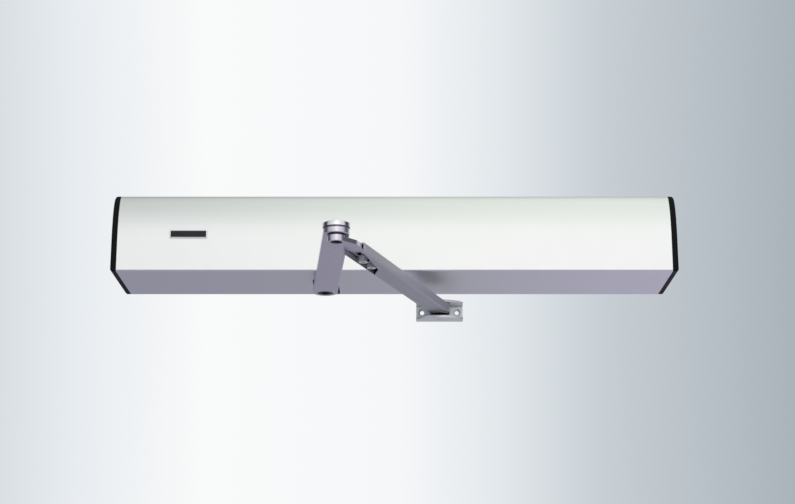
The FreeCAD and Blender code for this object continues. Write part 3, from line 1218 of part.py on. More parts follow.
def pump_bolt_places():
    """Y and Z of the four pump bolts."""
    half = PUMP_BOLT_SPACING / 2
    middle = -PUMP_CENTRES / 2
    return [(SPINDLE_Y + y, middle + z) for y in (-half, half) for z in (-half, half)]


def pump_housing():
    """The pump housing with its double gear pocket, bearing bores, port and bolt holes."""
    solid = pump_block(PUMP_LEFT, PUMP_LENGTH)
    for level in (0, -PUMP_CENTRES):
        solid = solid.cut(cylinder(PUMP_TIP_RADIUS + PUMP_GEAR_GAP, PUMP_GEAR_WIDTH + 2 * PUMP_GEAR_GAP,
                                   (PUMP_LEFT, SPINDLE_Y, level), X_AXIS))
        solid = solid.cut(cylinder(PUMP_SHAFT_RADIUS + RUNNING_FIT, PUMP_GEAR_WIDTH + PUMP_JOURNAL,
                                   (PUMP_LEFT, SPINDLE_Y, level), X_AXIS))
    back = SPINDLE_Y + PUMP_WIDTH / 2
    port = PIPE_RADIUS - PIPE_WALL
    solid = solid.cut(cylinder(port, PUMP_WIDTH / 2 - PUMP_TIP_RADIUS / 2, (PUMP_PORT_X, back, 0), -Y_AXIS))
    for y, z in pump_bolt_places():
        solid = solid.cut(cylinder(PUMP_BOLT_RADIUS + SCREW_FIT, PUMP_LENGTH, (PUMP_LEFT, y, z), X_AXIS))
    return solid


def pump_cover():
    """The pump's cover plate, bored through for the drive shaft and blind for the idler."""
    left = PUMP_LEFT - PUMP_COVER_THICKNESS
    solid = pump_block(left, PUMP_COVER_THICKNESS)
    bore = PUMP_SHAFT_RADIUS + RUNNING_FIT
    solid = solid.cut(cylinder(bore, PUMP_COVER_THICKNESS, (left, SPINDLE_Y, 0), X_AXIS))
    solid = solid.cut(cylinder(bore, PUMP_JOURNAL, (PUMP_LEFT, SPINDLE_Y, -PUMP_CENTRES), -X_AXIS))
    for y, z in pump_bolt_places():
        solid = solid.cut(cylinder(PUMP_BOLT_RADIUS + SCREW_FIT, PUMP_COVER_THICKNESS, (left, y, z), X_AXIS))
    return solid


def pump_gear(first_tooth, level):
    """One pump gear, its axis along +X at a level below the drive shaft."""
    gear = spur_gear(PUMP_MODULE, PUMP_TEETH, PUMP_ADDENDUM, TOOTH_BACKLASH, PUMP_GEAR_WIDTH, first_tooth)
    gear.Placement = FreeCAD.Placement(Vector(PUMP_LEFT + PUMP_GEAR_GAP, SPINDLE_Y, level),
                                       FreeCAD.Rotation(Z_AXIS, X_AXIS))
    return gear


def pump_drive_gear():
    """The driven pump gear on its shaft, which reaches back to the coupling."""
    right = PUMP_LEFT + PUMP_GEAR_WIDTH + PUMP_JOURNAL - BODY_GAP
    left = PUMP_LEFT - PUMP_COVER_THICKNESS - MOTOR_LANTERN_LENGTH / 2 + SHAFT_GAP / 2
    shaft = cylinder(PUMP_SHAFT_RADIUS, right - left, (left, SPINDLE_Y, 0), X_AXIS)
    return joined([pump_gear(0.0, 0.0), shaft])


def pump_idler_gear():
    """The second pump gear with its two journals, in mesh below the first."""
    left = PUMP_LEFT - PUMP_JOURNAL + BODY_GAP
    right = PUMP_LEFT + PUMP_GEAR_WIDTH + PUMP_JOURNAL - BODY_GAP
    shaft = cylinder(PUMP_SHAFT_RADIUS, right - left, (left, SPINDLE_Y, -PUMP_CENTRES), X_AXIS)
    return joined([pump_gear(math.pi / PUMP_TEETH, -PUMP_CENTRES), shaft])


def shaft_coupling():
    """The slit clamping sleeve that joins motor shaft and pump shaft."""
    start = MOTOR_RIGHT + (MOTOR_LANTERN_LENGTH - COUPLING_LENGTH) / 2
    sleeve = ring(COUPLING_RADIUS, PUMP_SHAFT_RADIUS + SCREW_FIT, COUPLING_LENGTH,
                  (start, SPINDLE_Y, 0), X_AXIS)
    slit = box((start, SPINDLE_Y - COUPLING_SLIT / 2, 0),
               (start + COUPLING_LENGTH, SPINDLE_Y + COUPLING_SLIT / 2, COUPLING_RADIUS))
    return sleeve.cut(slit)


def motor_housing():
    """The motor's drawn steel tube."""
    return ring(MOTOR_RADIUS, MOTOR_RADIUS - MOTOR_WALL, MOTOR_LENGTH,
                (MOTOR_TUBE_LEFT, SPINDLE_Y, 0), X_AXIS)


def motor_bell(outer_x, way):
    """An end bell: flange, centring lip inside the tube and the bearing seat."""
    inside = MOTOR_RADIUS - MOTOR_WALL - SCREW_FIT
    lip = MOTOR_BELL_THICKNESS + MOTOR_BELL_LIP
    seat = MOTOR_BEARING_RADIUS
    hole = MOTOR_SHAFT_RADIUS + MOTOR_SHAFT_ROOM
    floor = MOTOR_BELL_THICKNESS - MOTOR_BELL_WALL
    edge = MOTOR_BELL_EDGE
    outline = [(hole, 0), (MOTOR_RADIUS - edge, 0), (MOTOR_RADIUS, edge),
               (MOTOR_RADIUS, MOTOR_BELL_THICKNESS), (inside, MOTOR_BELL_THICKNESS), (inside, lip),
               (inside - MOTOR_BELL_RIM, lip),
               (inside - MOTOR_BELL_RIM, floor), (seat + MOTOR_BELL_WALL, floor),
               (seat + MOTOR_BELL_WALL, lip), (seat, lip), (seat, lip - MOTOR_BEARING_WIDTH),
               (hole, lip - MOTOR_BEARING_WIDTH)]
    return turned(outline, (outer_x, SPINDLE_Y, 0), X_AXIS * -way)


def motor_front_bell():
    """The bell towards the pump, with the lantern that bridges the coupling."""
    lantern = ring(LANTERN_RADIUS, LANTERN_RADIUS - LANTERN_WALL, MOTOR_LANTERN_LENGTH,
                   (MOTOR_RIGHT, SPINDLE_Y, 0), X_AXIS)
    window = box((MOTOR_RIGHT + LANTERN_WALL, SPINDLE_Y - LANTERN_RADIUS, -COUPLING_RADIUS),
                 (MOTOR_RIGHT + MOTOR_LANTERN_LENGTH - LANTERN_WALL, SPINDLE_Y + LANTERN_RADIUS,
                  COUPLING_RADIUS))
    return joined([motor_bell(MOTOR_RIGHT, 1), lantern.cut(window)])


def motor_bearings():
    """The two ball bearings of the motor shaft."""
    bearings = []
    inner = MOTOR_SHAFT_RADIUS + RUNNING_FIT
    outer = MOTOR_BEARING_RADIUS - SCREW_FIT
    groove = (outer - inner) / 3
    depth = MOTOR_BEARING_SHIELD
    outline = [(inner, 0), (inner + groove, 0), (inner + groove, depth), (outer - groove, depth),
               (outer - groove, 0), (outer, 0), (outer, MOTOR_BEARING_WIDTH), (inner, MOTOR_BEARING_WIDTH)]
    lip = MOTOR_BELL_THICKNESS + MOTOR_BELL_LIP
    for outer_x, way in ((MOTOR_RIGHT, 1), (MOTOR_LEFT, -1)):
        start = (outer_x - way * lip, SPINDLE_Y, 0)
        bearings.append(turned(outline, start, X_AXIS * way))
    return Part.makeCompound(bearings)


def motor_magnets():
    """The two magnet shells glued inside the motor tube."""
    outer = MOTOR_RADIUS - MOTOR_WALL
    start = Vector(MOTOR_MIDDLE - ROTOR_LENGTH / 2, SPINDLE_Y, 0)
    magnets = []
    for turn in (0, 180):
        block = Part.makeCylinder(outer, ROTOR_LENGTH, start, X_AXIS, MAGNET_ANGLE)
        block = block.cut(cylinder(outer - MAGNET_THICKNESS, ROTOR_LENGTH, tuple(start), X_AXIS))
        block.rotate(start, X_AXIS, turn)
        magnets.append(block)
    return Part.makeCompound(magnets)


def motor_rotor():
    """The motor shaft with its slotted lamination stack and the commutator."""
    left = MOTOR_LEFT - ENCODER_GAP - ENCODER_THICKNESS
    right = MOTOR_RIGHT + (MOTOR_LANTERN_LENGTH - SHAFT_GAP) / 2
    shaft = cylinder(MOTOR_SHAFT_RADIUS, right - left, (left, SPINDLE_Y, 0), X_AXIS)
    stack = cylinder(ROTOR_RADIUS, ROTOR_LENGTH, (MOTOR_MIDDLE - ROTOR_LENGTH / 2, SPINDLE_Y, 0), X_AXIS)
    slot = box((MOTOR_MIDDLE - ROTOR_LENGTH / 2, SPINDLE_Y - ROTOR_SLOT_WIDTH / 2,
                ROTOR_RADIUS - ROTOR_SLOT_DEPTH),
               (MOTOR_MIDDLE + ROTOR_LENGTH / 2, SPINDLE_Y + ROTOR_SLOT_WIDTH / 2,
                ROTOR_RADIUS + ROTOR_SLOT_DEPTH))
    for index in range(ROTOR_SLOTS):
        cutter = slot.copy()
        cutter.rotate(Vector(0, SPINDLE_Y, 0), X_AXIS, 360 / ROTOR_SLOTS * index)
        stack = stack.cut(cutter)
    return joined([shaft, stack])


def rotor_windings():
    """The end turns of the rotor's windings, one ring at each end of the stack."""
    rings = []
    for way in (-1, 1):
        start = (MOTOR_MIDDLE + way * ROTOR_LENGTH / 2, SPINDLE_Y, 0)
        outer = ROTOR_RADIUS - END_TURNS_INSET
        inner = MOTOR_SHAFT_RADIUS + SCREW_FIT
        outline = [(inner, 0), (outer, 0), (outer, END_TURNS - END_TURNS_CHAMFER),
                   (outer - END_TURNS_CHAMFER, END_TURNS), (inner, END_TURNS)]
        rings.append(turned(outline, start, X_AXIS * way))
    return Part.makeCompound(rings)


def encoder_disc():
    """The slotted encoder disc on the rear end of the motor shaft."""
    start = (MOTOR_LEFT - ENCODER_GAP - ENCODER_THICKNESS, SPINDLE_Y, 0)
    disc = ring(ENCODER_RADIUS, MOTOR_SHAFT_RADIUS + SCREW_FIT, ENCODER_THICKNESS, start, X_AXIS)
    slot = box((start[0], SPINDLE_Y - ENCODER_SLOT_WIDTH / 2, ENCODER_RADIUS - ENCODER_SLOT_DEPTH),
               (start[0] + ENCODER_THICKNESS, SPINDLE_Y + ENCODER_SLOT_WIDTH / 2,
                ENCODER_RADIUS + ENCODER_SLOT_DEPTH))
    for index in range(ENCODER_SLOTS):
        cutter = slot.copy()
        cutter.rotate(Vector(0, SPINDLE_Y, 0), X_AXIS, 360 / ENCODER_SLOTS * index)
        disc = disc.cut(cutter)
    return disc


def motor_bracket():
    """The saddle that carries the motor on the plate."""
    half = MOTOR_SADDLE_WIDTH / 2
    tall = MOTOR_RADIUS - MOTOR_WALL
    front = SPINDLE_Y + MOTOR_RADIUS / 3
    block = box((MOTOR_MIDDLE - half, front, -tall), (MOTOR_MIDDLE + half, -PLATE_THICKNESS, tall))
    foot = rounded_box((MOTOR_MIDDLE - 2 * half, -PLATE_THICKNESS - MOTOR_FOOT_THICKNESS, -tall),
                       (MOTOR_MIDDLE + 2 * half, -PLATE_THICKNESS, tall), MOTOR_WALL, Y_AXIS)
    cradle = cylinder(MOTOR_RADIUS + SCREW_FIT, 2 * half, (MOTOR_MIDDLE - half, SPINDLE_Y, 0), X_AXIS)
    relief = box((MOTOR_MIDDLE - half, SPINDLE_Y + MOTOR_RADIUS + MOTOR_WALL, -tall / 2),
                 (MOTOR_MIDDLE + half, -PLATE_THICKNESS - MOTOR_FOOT_THICKNESS, tall / 2))
    return joined([block, foot]).cut(cradle).cut(relief)


def pressure_pipe():
    """The bent steel pipe from the pump's port to the piston's left chamber, with both nuts."""
    radius = PIPE_BEND_RADIUS
    pump_face = SPINDLE_Y + PUMP_WIDTH / 2
    body_face = SPINDLE_Y + BODY_WIDTH / 2
    crest = body_face + PIPE_NUT_LENGTH + PIPE_STEM + radius
    left = PUMP_PORT_X
    right = BODY_LEFT + PIPE_PORT_INSET
    dip = radius * (1 - math.sqrt(0.5))
    edges = [
        Part.makeLine(Vector(left, pump_face, 0), Vector(left, crest - radius, 0)),
        Part.Arc(Vector(left, crest - radius, 0), Vector(left + dip, crest - dip, 0),
                 Vector(left + radius, crest, 0)).toShape(),
        Part.makeLine(Vector(left + radius, crest, 0), Vector(right - radius, crest, 0)),
        Part.Arc(Vector(right - radius, crest, 0), Vector(right - dip, crest - dip, 0),
                 Vector(right, crest - radius, 0)).toShape(),
        Part.makeLine(Vector(right, crest - radius, 0), Vector(right, body_face, 0)),
    ]
    path = Part.Wire(edges)
    tubes = []
    for size in (PIPE_RADIUS, PIPE_RADIUS - PIPE_WALL):
        section = Part.Wire(Part.Circle(Vector(left, pump_face, 0), Y_AXIS, size).toShape())
        tubes.append(path.makePipeShell([section], True, True))
    nuts = []
    for x, face in ((left, pump_face), (right, body_face)):
        nut = hexagon(2 * PIPE_NUT_RADIUS, PIPE_NUT_LENGTH, (x, face, 0), Y_AXIS)
        nuts.append(nut)
    return joined([tubes[0]] + nuts).cut(tubes[1])


def transformer_core():
    """The laminated transformer core: three legs between two yokes."""
    half = TRANSFORMER_WIDTH / 2
    tall = TRANSFORMER_HEIGHT / 2
    back = -PLATE_THICKNESS - TRANSFORMER_FROM_PLATE
    front = back - TRANSFORMER_STACK
    leg = TRANSFORMER_LEG
    solid = box((TRANSFORMER_X - half, front, -tall), (TRANSFORMER_X + half, back, tall))
    for way in (-1, 1):
        near, far = sorted((TRANSFORMER_X + way * leg, TRANSFORMER_X + way * (half - leg)))
        solid = solid.cut(box((near, front, leg - tall), (far, back, tall - leg)))
    return solid


def transformer_coil():
    """The wound coil round the middle leg, with rounded corners."""
    window = TRANSFORMER_WIDTH / 2 - TRANSFORMER_LEG - SEAT_GAP
    tall = TRANSFORMER_HEIGHT / 2 - TRANSFORMER_LEG - SEAT_GAP
    back = -PLATE_THICKNESS - TRANSFORMER_FROM_PLATE
    front = back - TRANSFORMER_STACK
    coil = rounded_box((TRANSFORMER_X - window, front - COIL_OVERHANG, -tall),
                       (TRANSFORMER_X + window, back + COIL_OVERHANG, tall), COIL_OVERHANG / 2, Z_AXIS)
    leg = TRANSFORMER_LEG + SEAT_GAP
    return coil.cut(box((TRANSFORMER_X - leg, front - SEAT_GAP, -tall),
                        (TRANSFORMER_X + leg, back + SEAT_GAP, tall)))


def transformer_bracket():
    """The sheet frame that clamps the core, open for the coil, with two feet on the plate."""
    half = TRANSFORMER_WIDTH / 2
    sheet = TRANSFORMER_STRAP
    tall = TRANSFORMER_HEIGHT / 2 - TRANSFORMER_STRAP_INSET
    front = -PLATE_THICKNESS - TRANSFORMER_FROM_PLATE - TRANSFORMER_STACK
    frame = box((TRANSFORMER_X - half - sheet, front - sheet, -tall),
                (TRANSFORMER_X + half + sheet, -PLATE_THICKNESS, tall))
    frame = frame.cut(box((TRANSFORMER_X - half, front, -tall),
                          (TRANSFORMER_X + half, -PLATE_THICKNESS, tall)))
    inner = TRANSFORMER_HEIGHT / 2 - TRANSFORMER_LEG
    frame = frame.cut(box((TRANSFORMER_X - half + sheet, front - sheet, -inner),
                          (TRANSFORMER_X + half - sheet, front, inner)))
    parts = [frame]
    for way in (-1, 1):
        near, far = sorted((TRANSFORMER_X + way * half, TRANSFORMER_X + way * TRANSFORMER_REACH))
        parts.append(rounded_box((near, -PLATE_THICKNESS - sheet, -tall), (far, -PLATE_THICKNESS, tall),
                                 3 * sheet, Y_AXIS))
    solid = joined(parts)
    return solid.cut(box((TRANSFORMER_X - half, -PLATE_THICKNESS - sheet, -tall),
                         (TRANSFORMER_X + half, -PLATE_THICKNESS, tall)))


def board_post_places():
    """X and Z of the four posts under the control board's corners."""
    inset = BOARD_SCREW_INSET
    tall = BOARD_HEIGHT / 2 - inset
    return [(x, z) for x in (BOARD_LEFT + inset, BOARD_RIGHT - inset) for z in (-tall, tall)]


def board_carrier():
    """The moulded tray on the plate, with four posts and an opening round the cable entry."""
    back = -PLATE_THICKNESS
    wall = CARRIER_WALL
    tall = BOARD_HEIGHT / 2
    tray = rounded_box((BOARD_LEFT - wall, back - CARRIER_DEPTH, -tall - wall),
                       (BOARD_RIGHT + wall, back, tall + wall), 2 * wall, Y_AXIS)
    hollow = rounded_box((BOARD_LEFT, back - CARRIER_DEPTH, -tall), (BOARD_RIGHT, back - wall, tall),
                         wall, Y_AXIS)
    parts = [tray.cut(hollow)]
    for x, z in board_post_places():
        parts.append(cylinder(CARRIER_POST_RADIUS, BOARD_FROM_PLATE, (x, back, z), -Y_AXIS))
    entry = CABLE_ENTRY_RADIUS + GROMMET_LIP + BODY_GAP
    solid = joined(parts).cut(cylinder(entry, 2 * wall, (CABLE_ENTRY_X, back, CABLE_ENTRY_Z), -Y_AXIS))
    for x, z in board_post_places():
        front = back - BOARD_FROM_PLATE
        solid = solid.cut(cylinder(BOARD_SCREW_RADIUS, BOARD_FROM_PLATE / 2, (x, front, z), Y_AXIS))
    return solid


def control_board():
    """The control board with its rounded corners and fixing holes."""
    tall = BOARD_HEIGHT / 2
    face = BOARD_FACE_Y
    board = rounded_box((BOARD_LEFT, face, -tall), (BOARD_RIGHT, face + BOARD_THICKNESS, tall),
                        CARRIER_WALL, Y_AXIS)
    for x, z in board_post_places():
        board = board.cut(cylinder(BOARD_SCREW_RADIUS, BOARD_THICKNESS, (x, face, z), Y_AXIS))
    return board


def board_component_column(index):
    """The left end and the width of one of the component columns across the board."""
    margin = 2 * BOARD_SCREW_INSET
    pitch = (BOARD_LENGTH - 2 * margin) / BOARD_COLUMNS
    return BOARD_LEFT + margin + index * pitch, pitch * COMPONENT_SHARE


def board_capacitor(index):
    """One capacitor can with the waist that crimps it above the board."""
    left, width = board_component_column(index)
    radius = width / 2
    can = cylinder(radius, CAPACITOR_HEIGHT, (left + radius, BOARD_FACE_Y, CAPACITOR_LEVEL), -Y_AXIS)
    waist = ring(radius, radius - CAPACITOR_WAIST_DEPTH, 2 * CAPACITOR_WAIST_DEPTH,
                 (left + radius, BOARD_FACE_Y - CAPACITOR_WAIST_FROM_BOARD, CAPACITOR_LEVEL), -Y_AXIS)
    return can.cut(waist)


def board_heatsink():
    """The finned heat sink over the last two columns of the board."""
    left, _ = board_component_column(BOARD_COLUMNS - 2)
    last, width = board_component_column(BOARD_COLUMNS - 1)
    right = last + width
    top = BOARD_HEIGHT / 2 - 2 * BOARD_SCREW_INSET
    fins = [box((left, BOARD_FACE_Y - HEATSINK_BASE, HEATSINK_LOW), (right, BOARD_FACE_Y, top))]
    pitch = (right - left - HEATSINK_FIN) / (HEATSINK_FINS - 1)
    for index in range(HEATSINK_FINS):
        x = left + index * pitch
        fins.append(box((x, BOARD_FACE_Y - HEATSINK_DEPTH, HEATSINK_LOW),
                        (x + HEATSINK_FIN, BOARD_FACE_Y, top)))
    return joined(fins)


def board_components():
    """Relays, capacitors, heat sink and main chip standing on the control board."""
    top = BOARD_HEIGHT / 2 - BOARD_SCREW_INSET
    parts = [board_heatsink()]
    for index in range(RELAY_COUNT):
        left, width = board_component_column(index)
        parts.append(box((left, BOARD_FACE_Y - RELAY_HEIGHT, top - RELAY_DEPTH),
                         (left + width, BOARD_FACE_Y, top)))
        parts.append(board_capacitor(index))
    left, _ = board_component_column(RELAY_COUNT)
    parts.append(box((left, BOARD_FACE_Y - CHIP_THICKNESS, CHIP_TOP - CHIP_SIZE),
                     (left + CHIP_SIZE, BOARD_FACE_Y, CHIP_TOP)))
    return Part.makeCompound(parts)


def terminal_blocks():
    """The pluggable terminal strip along the board's lower edge, a funnel and a clamp per way."""
    face = BOARD_FACE_Y
    ways = int((BOARD_LENGTH - 4 * BOARD_SCREW_INSET) / TERMINAL_PITCH)
    length = TERMINAL_PITCH * ways
    left = BOARD_LEFT + (BOARD_LENGTH - length) / 2
    low = -BOARD_HEIGHT / 2 + BOARD_SCREW_INSET / 2
    block = box((left, face - TERMINAL_HEIGHT, low), (left + length, face, low + TERMINAL_DEPTH))
    half = TERMINAL_PITCH / 3
    clamp = low + TERMINAL_DEPTH - 2 * half
    funnel = TERMINAL_HEIGHT * TERMINAL_FUNNEL_SHARE / 2
    for index in range(ways):
        middle = left + (index + 0.5) * TERMINAL_PITCH
        block = block.cut(box((middle - half, face - TERMINAL_HEIGHT / 2 - funnel, low),
                              (middle + half, face - TERMINAL_HEIGHT / 2 + funnel, low + TERMINAL_DEPTH / 2)))
        block = block.cut(cylinder(half, TERMINAL_CLAMP_DEPTH, (middle, face - TERMINAL_HEIGHT, clamp), Y_AXIS))
    return block


def switch_body():
    """The rocker switch's housing, clipped in the right end cap."""
    outer = HOUSING_LENGTH / 2 - ROCKER_RECESS
    inner = outer - SWITCH_BODY_DEPTH
    y, z = -SWITCH_FROM_WALL, SWITCH_LEVEL
    wide = SWITCH_WIDTH / 2 - SCREW_FIT
    tall = SWITCH_LENGTH / 2 - SCREW_FIT
    solid = rounded_box((inner, y - wide, z - tall), (outer, y + wide, z + tall),
                        SWITCH_CORNER_RADIUS, X_AXIS)
    depth = ROCKER_THICKNESS + ROCKER_SWING
    solid = solid.cut(box((outer - depth, y - wide + ROCKER_WALL, z - tall + ROCKER_WALL),
                          (outer, y + wide - ROCKER_WALL, z + tall - ROCKER_WALL)))
    blades = [solid]
    half = SWITCH_BLADE_THICKNESS / 2
    for level in (-tall / 2, tall / 2):
        blades.append(box((inner - SWITCH_BLADE, y - wide / 2, z + level - half),
                          (inner, y + wide / 2, z + level + half)))
    return joined(blades)


def switch_rocker():
    """The rocker, tilted to its off side about its pivot."""
    outer = HOUSING_LENGTH / 2 - ROCKER_RECESS
    y, z = -SWITCH_FROM_WALL, SWITCH_LEVEL
    wide = SWITCH_WIDTH / 2 - SCREW_FIT - ROCKER_WALL - ROCKER_GAP
    tall = SWITCH_LENGTH / 2 - SCREW_FIT - ROCKER_WALL - ROCKER_GAP - ROCKER_CURVE
    back = outer - ROCKER_THICKNESS
    edges = [
        Part.makeLine(Vector(back, y - wide, -tall), Vector(outer, y - wide, -tall)),
        Part.Arc(Vector(outer, y - wide, -tall), Vector(outer - ROCKER_DIP, y - wide, 0),
                 Vector(outer, y - wide, tall)).toShape(),
        Part.makeLine(Vector(outer, y - wide, tall), Vector(back, y - wide, tall)),
        Part.makeLine(Vector(back, y - wide, tall), Vector(back, y - wide, -tall)),
    ]
    solid = Part.Face(Part.Wire(edges)).extrude(Vector(0, 2 * wide, 0))
    solid.translate(Vector(0, 0, z))
    solid.rotate(Vector(back, y, z), Y_AXIS, math.degrees(ROCKER_TILT))
    return solid


PIECES = {
    "mounting_plate": mounting_plate,
    "cable_grommet": cable_grommet,
    "cover": cover,
    "left_end_cap": lambda: end_cap(-1),
    "right_end_cap": right_end_cap,
    "end_cap_screws": end_cap_screws,
    "drive_body": drive_body,
    "drive_screws": drive_screws,
    "left_end_plug": lambda: end_plug(-1),
    "right_end_plug": right_end_plug,
    "plug_seals": plug_seals,
    "rack_piston": rack_piston,
    "piston_seals": piston_seals,
    "check_valve": check_valve,
    "closing_spring": closing_spring,
    "spring_plate": spring_plate,
    "spring_adjuster": spring_adjuster,
    "output_spindle": output_spindle,
    "spindle_bearings": spindle_bearings,
    "spindle_seals": spindle_seals,
    "bearing_caps": bearing_caps,
    "closing_speed_valve": lambda: speed_valve(CLOSING_VALVE_X),
    "latching_speed_valve": lambda: speed_valve(LATCHING_VALVE_X),
    "main_arm": main_arm,
    "arm_screw": arm_screw,
    "elbow_bush": elbow_bush,
    "elbow_cap": elbow_cap,
    "elbow_screw": elbow_screw,
    "elbow_link": elbow_link,
    "forearm_channel": forearm_channel,
    "clamp_screws": clamp_screws,
    "clamp_washers": clamp_washers,
    "forearm_bush": forearm_bush,
    "door_shoe": door_shoe,
    "shoe_pin": shoe_pin,
    "shoe_spacer": shoe_spacer,
    "pump_housing": pump_housing,
    "pump_cover": pump_cover,
    "pump_drive_gear": pump_drive_gear,
    "pump_idler_gear": pump_idler_gear,
    "shaft_coupling": shaft_coupling,
    "motor_housing": motor_housing,
    "motor_front_bell": motor_front_bell,
    "motor_rear_bell": lambda: motor_bell(MOTOR_LEFT, -1),
    "motor_bearings": motor_bearings,
    "motor_magnets": motor_magnets,
    "motor_rotor": motor_rotor,
    "rotor_windings": rotor_windings,
    "encoder_disc": encoder_disc,
    "motor_bracket": motor_bracket,
    "pressure_pipe": pressure_pipe,
    "transformer_core": transformer_core,
    "transformer_coil": transformer_coil,
    "transformer_bracket": transformer_bracket,
    "board_carrier": board_carrier,
    "control_board": control_board,
    "board_components": board_components,
    "terminal_blocks": terminal_blocks,
    "switch_body": switch_body,
    "switch_rocker": switch_rocker,
}


def build():
    """Writes one STEP file per piece."""
    os.makedirs("parts", exist_ok=True)
    for name, make in PIECES.items():
        make().exportStep("parts/" + name + ".step")


build()
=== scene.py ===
"""Dresses the automatic door operator in its finishes, adds its small details, lights it and frames it.

Every length is in metres, in the frame of the model: the origin is the middle of the face on the wall,
+X runs along the housing, +Y into the wall and +Z up.
"""

import logging
import math
from dataclasses import dataclass, replace
from enum import Enum
from typing import Any, Iterable, Union

import bmesh
import bpy
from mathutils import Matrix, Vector


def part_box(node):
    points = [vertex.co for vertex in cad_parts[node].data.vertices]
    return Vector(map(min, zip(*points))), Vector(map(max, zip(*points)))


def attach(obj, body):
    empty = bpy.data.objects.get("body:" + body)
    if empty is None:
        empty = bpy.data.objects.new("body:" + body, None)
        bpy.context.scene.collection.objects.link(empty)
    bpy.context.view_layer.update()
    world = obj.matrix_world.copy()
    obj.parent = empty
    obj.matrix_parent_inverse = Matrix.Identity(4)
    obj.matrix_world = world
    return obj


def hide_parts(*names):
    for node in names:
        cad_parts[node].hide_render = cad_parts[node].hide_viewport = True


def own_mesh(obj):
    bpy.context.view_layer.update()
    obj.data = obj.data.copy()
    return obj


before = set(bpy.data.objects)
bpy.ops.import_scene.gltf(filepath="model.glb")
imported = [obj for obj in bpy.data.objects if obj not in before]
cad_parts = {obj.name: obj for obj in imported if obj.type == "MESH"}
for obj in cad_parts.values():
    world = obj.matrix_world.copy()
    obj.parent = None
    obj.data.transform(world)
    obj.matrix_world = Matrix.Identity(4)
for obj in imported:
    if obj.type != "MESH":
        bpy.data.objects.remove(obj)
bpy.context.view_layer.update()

WELD_DISTANCE = 0.000002
CREASE_ANGLE = math.radians(40)
CORNER_STEPS = 6
EDGE_STEPS = 4

Colour = tuple[float, float, float]
Place = tuple[float, float, float]
Loop = list[Vector]
Stops = tuple[tuple[float, Colour], ...]
SocketKey = Union[int, str]
Term = Union["Signal", float]

log = logging.getLogger("door_operator")


class Axis(Enum):
    """A direction that a pattern runs along."""

    X = 0
    Y = 1
    Z = 2


class Pattern(Enum):
    """How a surface was made, which decides its relief."""

    EXTRUDED = "extruded"
    BRUSHED = "brushed"
    GRAIN = "grain"
    CAST = "cast"
    TURNED = "turned"
    LAYERED = "layered"
    BOARD = "board"


class Blend(Enum):
    """How two colours become one."""

    MIX = "MIX"
    MULTIPLY = "MULTIPLY"


class Ray(Enum):
    """What a ray of light is for."""

    CAMERA = "Is Camera Ray"
    GLOSSY = "Is Glossy Ray"
    TRANSMISSION = "Is Transmission Ray"


class SpringEnd(Enum):
    """An end of the closing spring, by its side along X."""

    PISTON = -1.0
    ADJUSTER = 1.0


class Signal:
    """A number that varies over a surface, with the arithmetic that shaders need."""

    def __init__(self, graph: "Graph", socket: bpy.types.NodeSocket | None) -> None:
        """Keeps the graph and the socket that gives the number.

        Args:
            graph: The graph that the socket belongs to.
            socket: The output socket, or None behind a node without one.
        """
        self.graph = graph
        self.socket = socket

    def _math(self, operation: str, *values: Term) -> "Signal":
        """Adds one Math node.

        Args:
            operation: The Math node's operation.
            values: Its operands in order.

        Returns:
            The node's result.
        """
        return self.graph.node("ShaderNodeMath", {"operation": operation}, dict(enumerate(values)))

    def __add__(self, other: Term) -> "Signal":
        """The sum."""
        return self._math("ADD", self, other)

    __radd__ = __add__

    def __sub__(self, other: Term) -> "Signal":
        """The difference."""
        return self._math("SUBTRACT", self, other)

    def __rsub__(self, other: float) -> "Signal":
        """The difference with a plain number first."""
        return self._math("SUBTRACT", other, self)

    def __mul__(self, other: Term) -> "Signal":
        """The product."""
        return self._math("MULTIPLY", self, other)

    __rmul__ = __mul__

    def __truediv__(self, other: Term) -> "Signal":
        """The quotient."""
        return self._math("DIVIDE", self, other)

    def __rtruediv__(self, other: float) -> "Signal":
        """The quotient with a plain number first."""
        return self._math("DIVIDE", other, self)

    def __gt__(self, other: float) -> "Signal":
        """One where the number is above a limit, zero elsewhere."""
        return self._math("GREATER_THAN", self, other)

    def clamped(self) -> "Signal":
        """The number held between zero and one."""
        return self._math("MINIMUM", self._math("MAXIMUM", self, 0.0), 1.0)

    def sharpened(self, gain: float) -> "Signal":
        """The number spread about one half, and held between zero and one."""
        return (self * gain + (1.0 - gain) / 2).clamped()

    def blended(self, other: "Signal", share: float) -> "Signal":
        """The number with a share of another one."""
        return self * (1.0 - share) + other * share

    def length_with(self, other: "Signal") -> "Signal":
        """The hypotenuse over this number and another."""
        return self._math("SQRT", self * self + other * other)


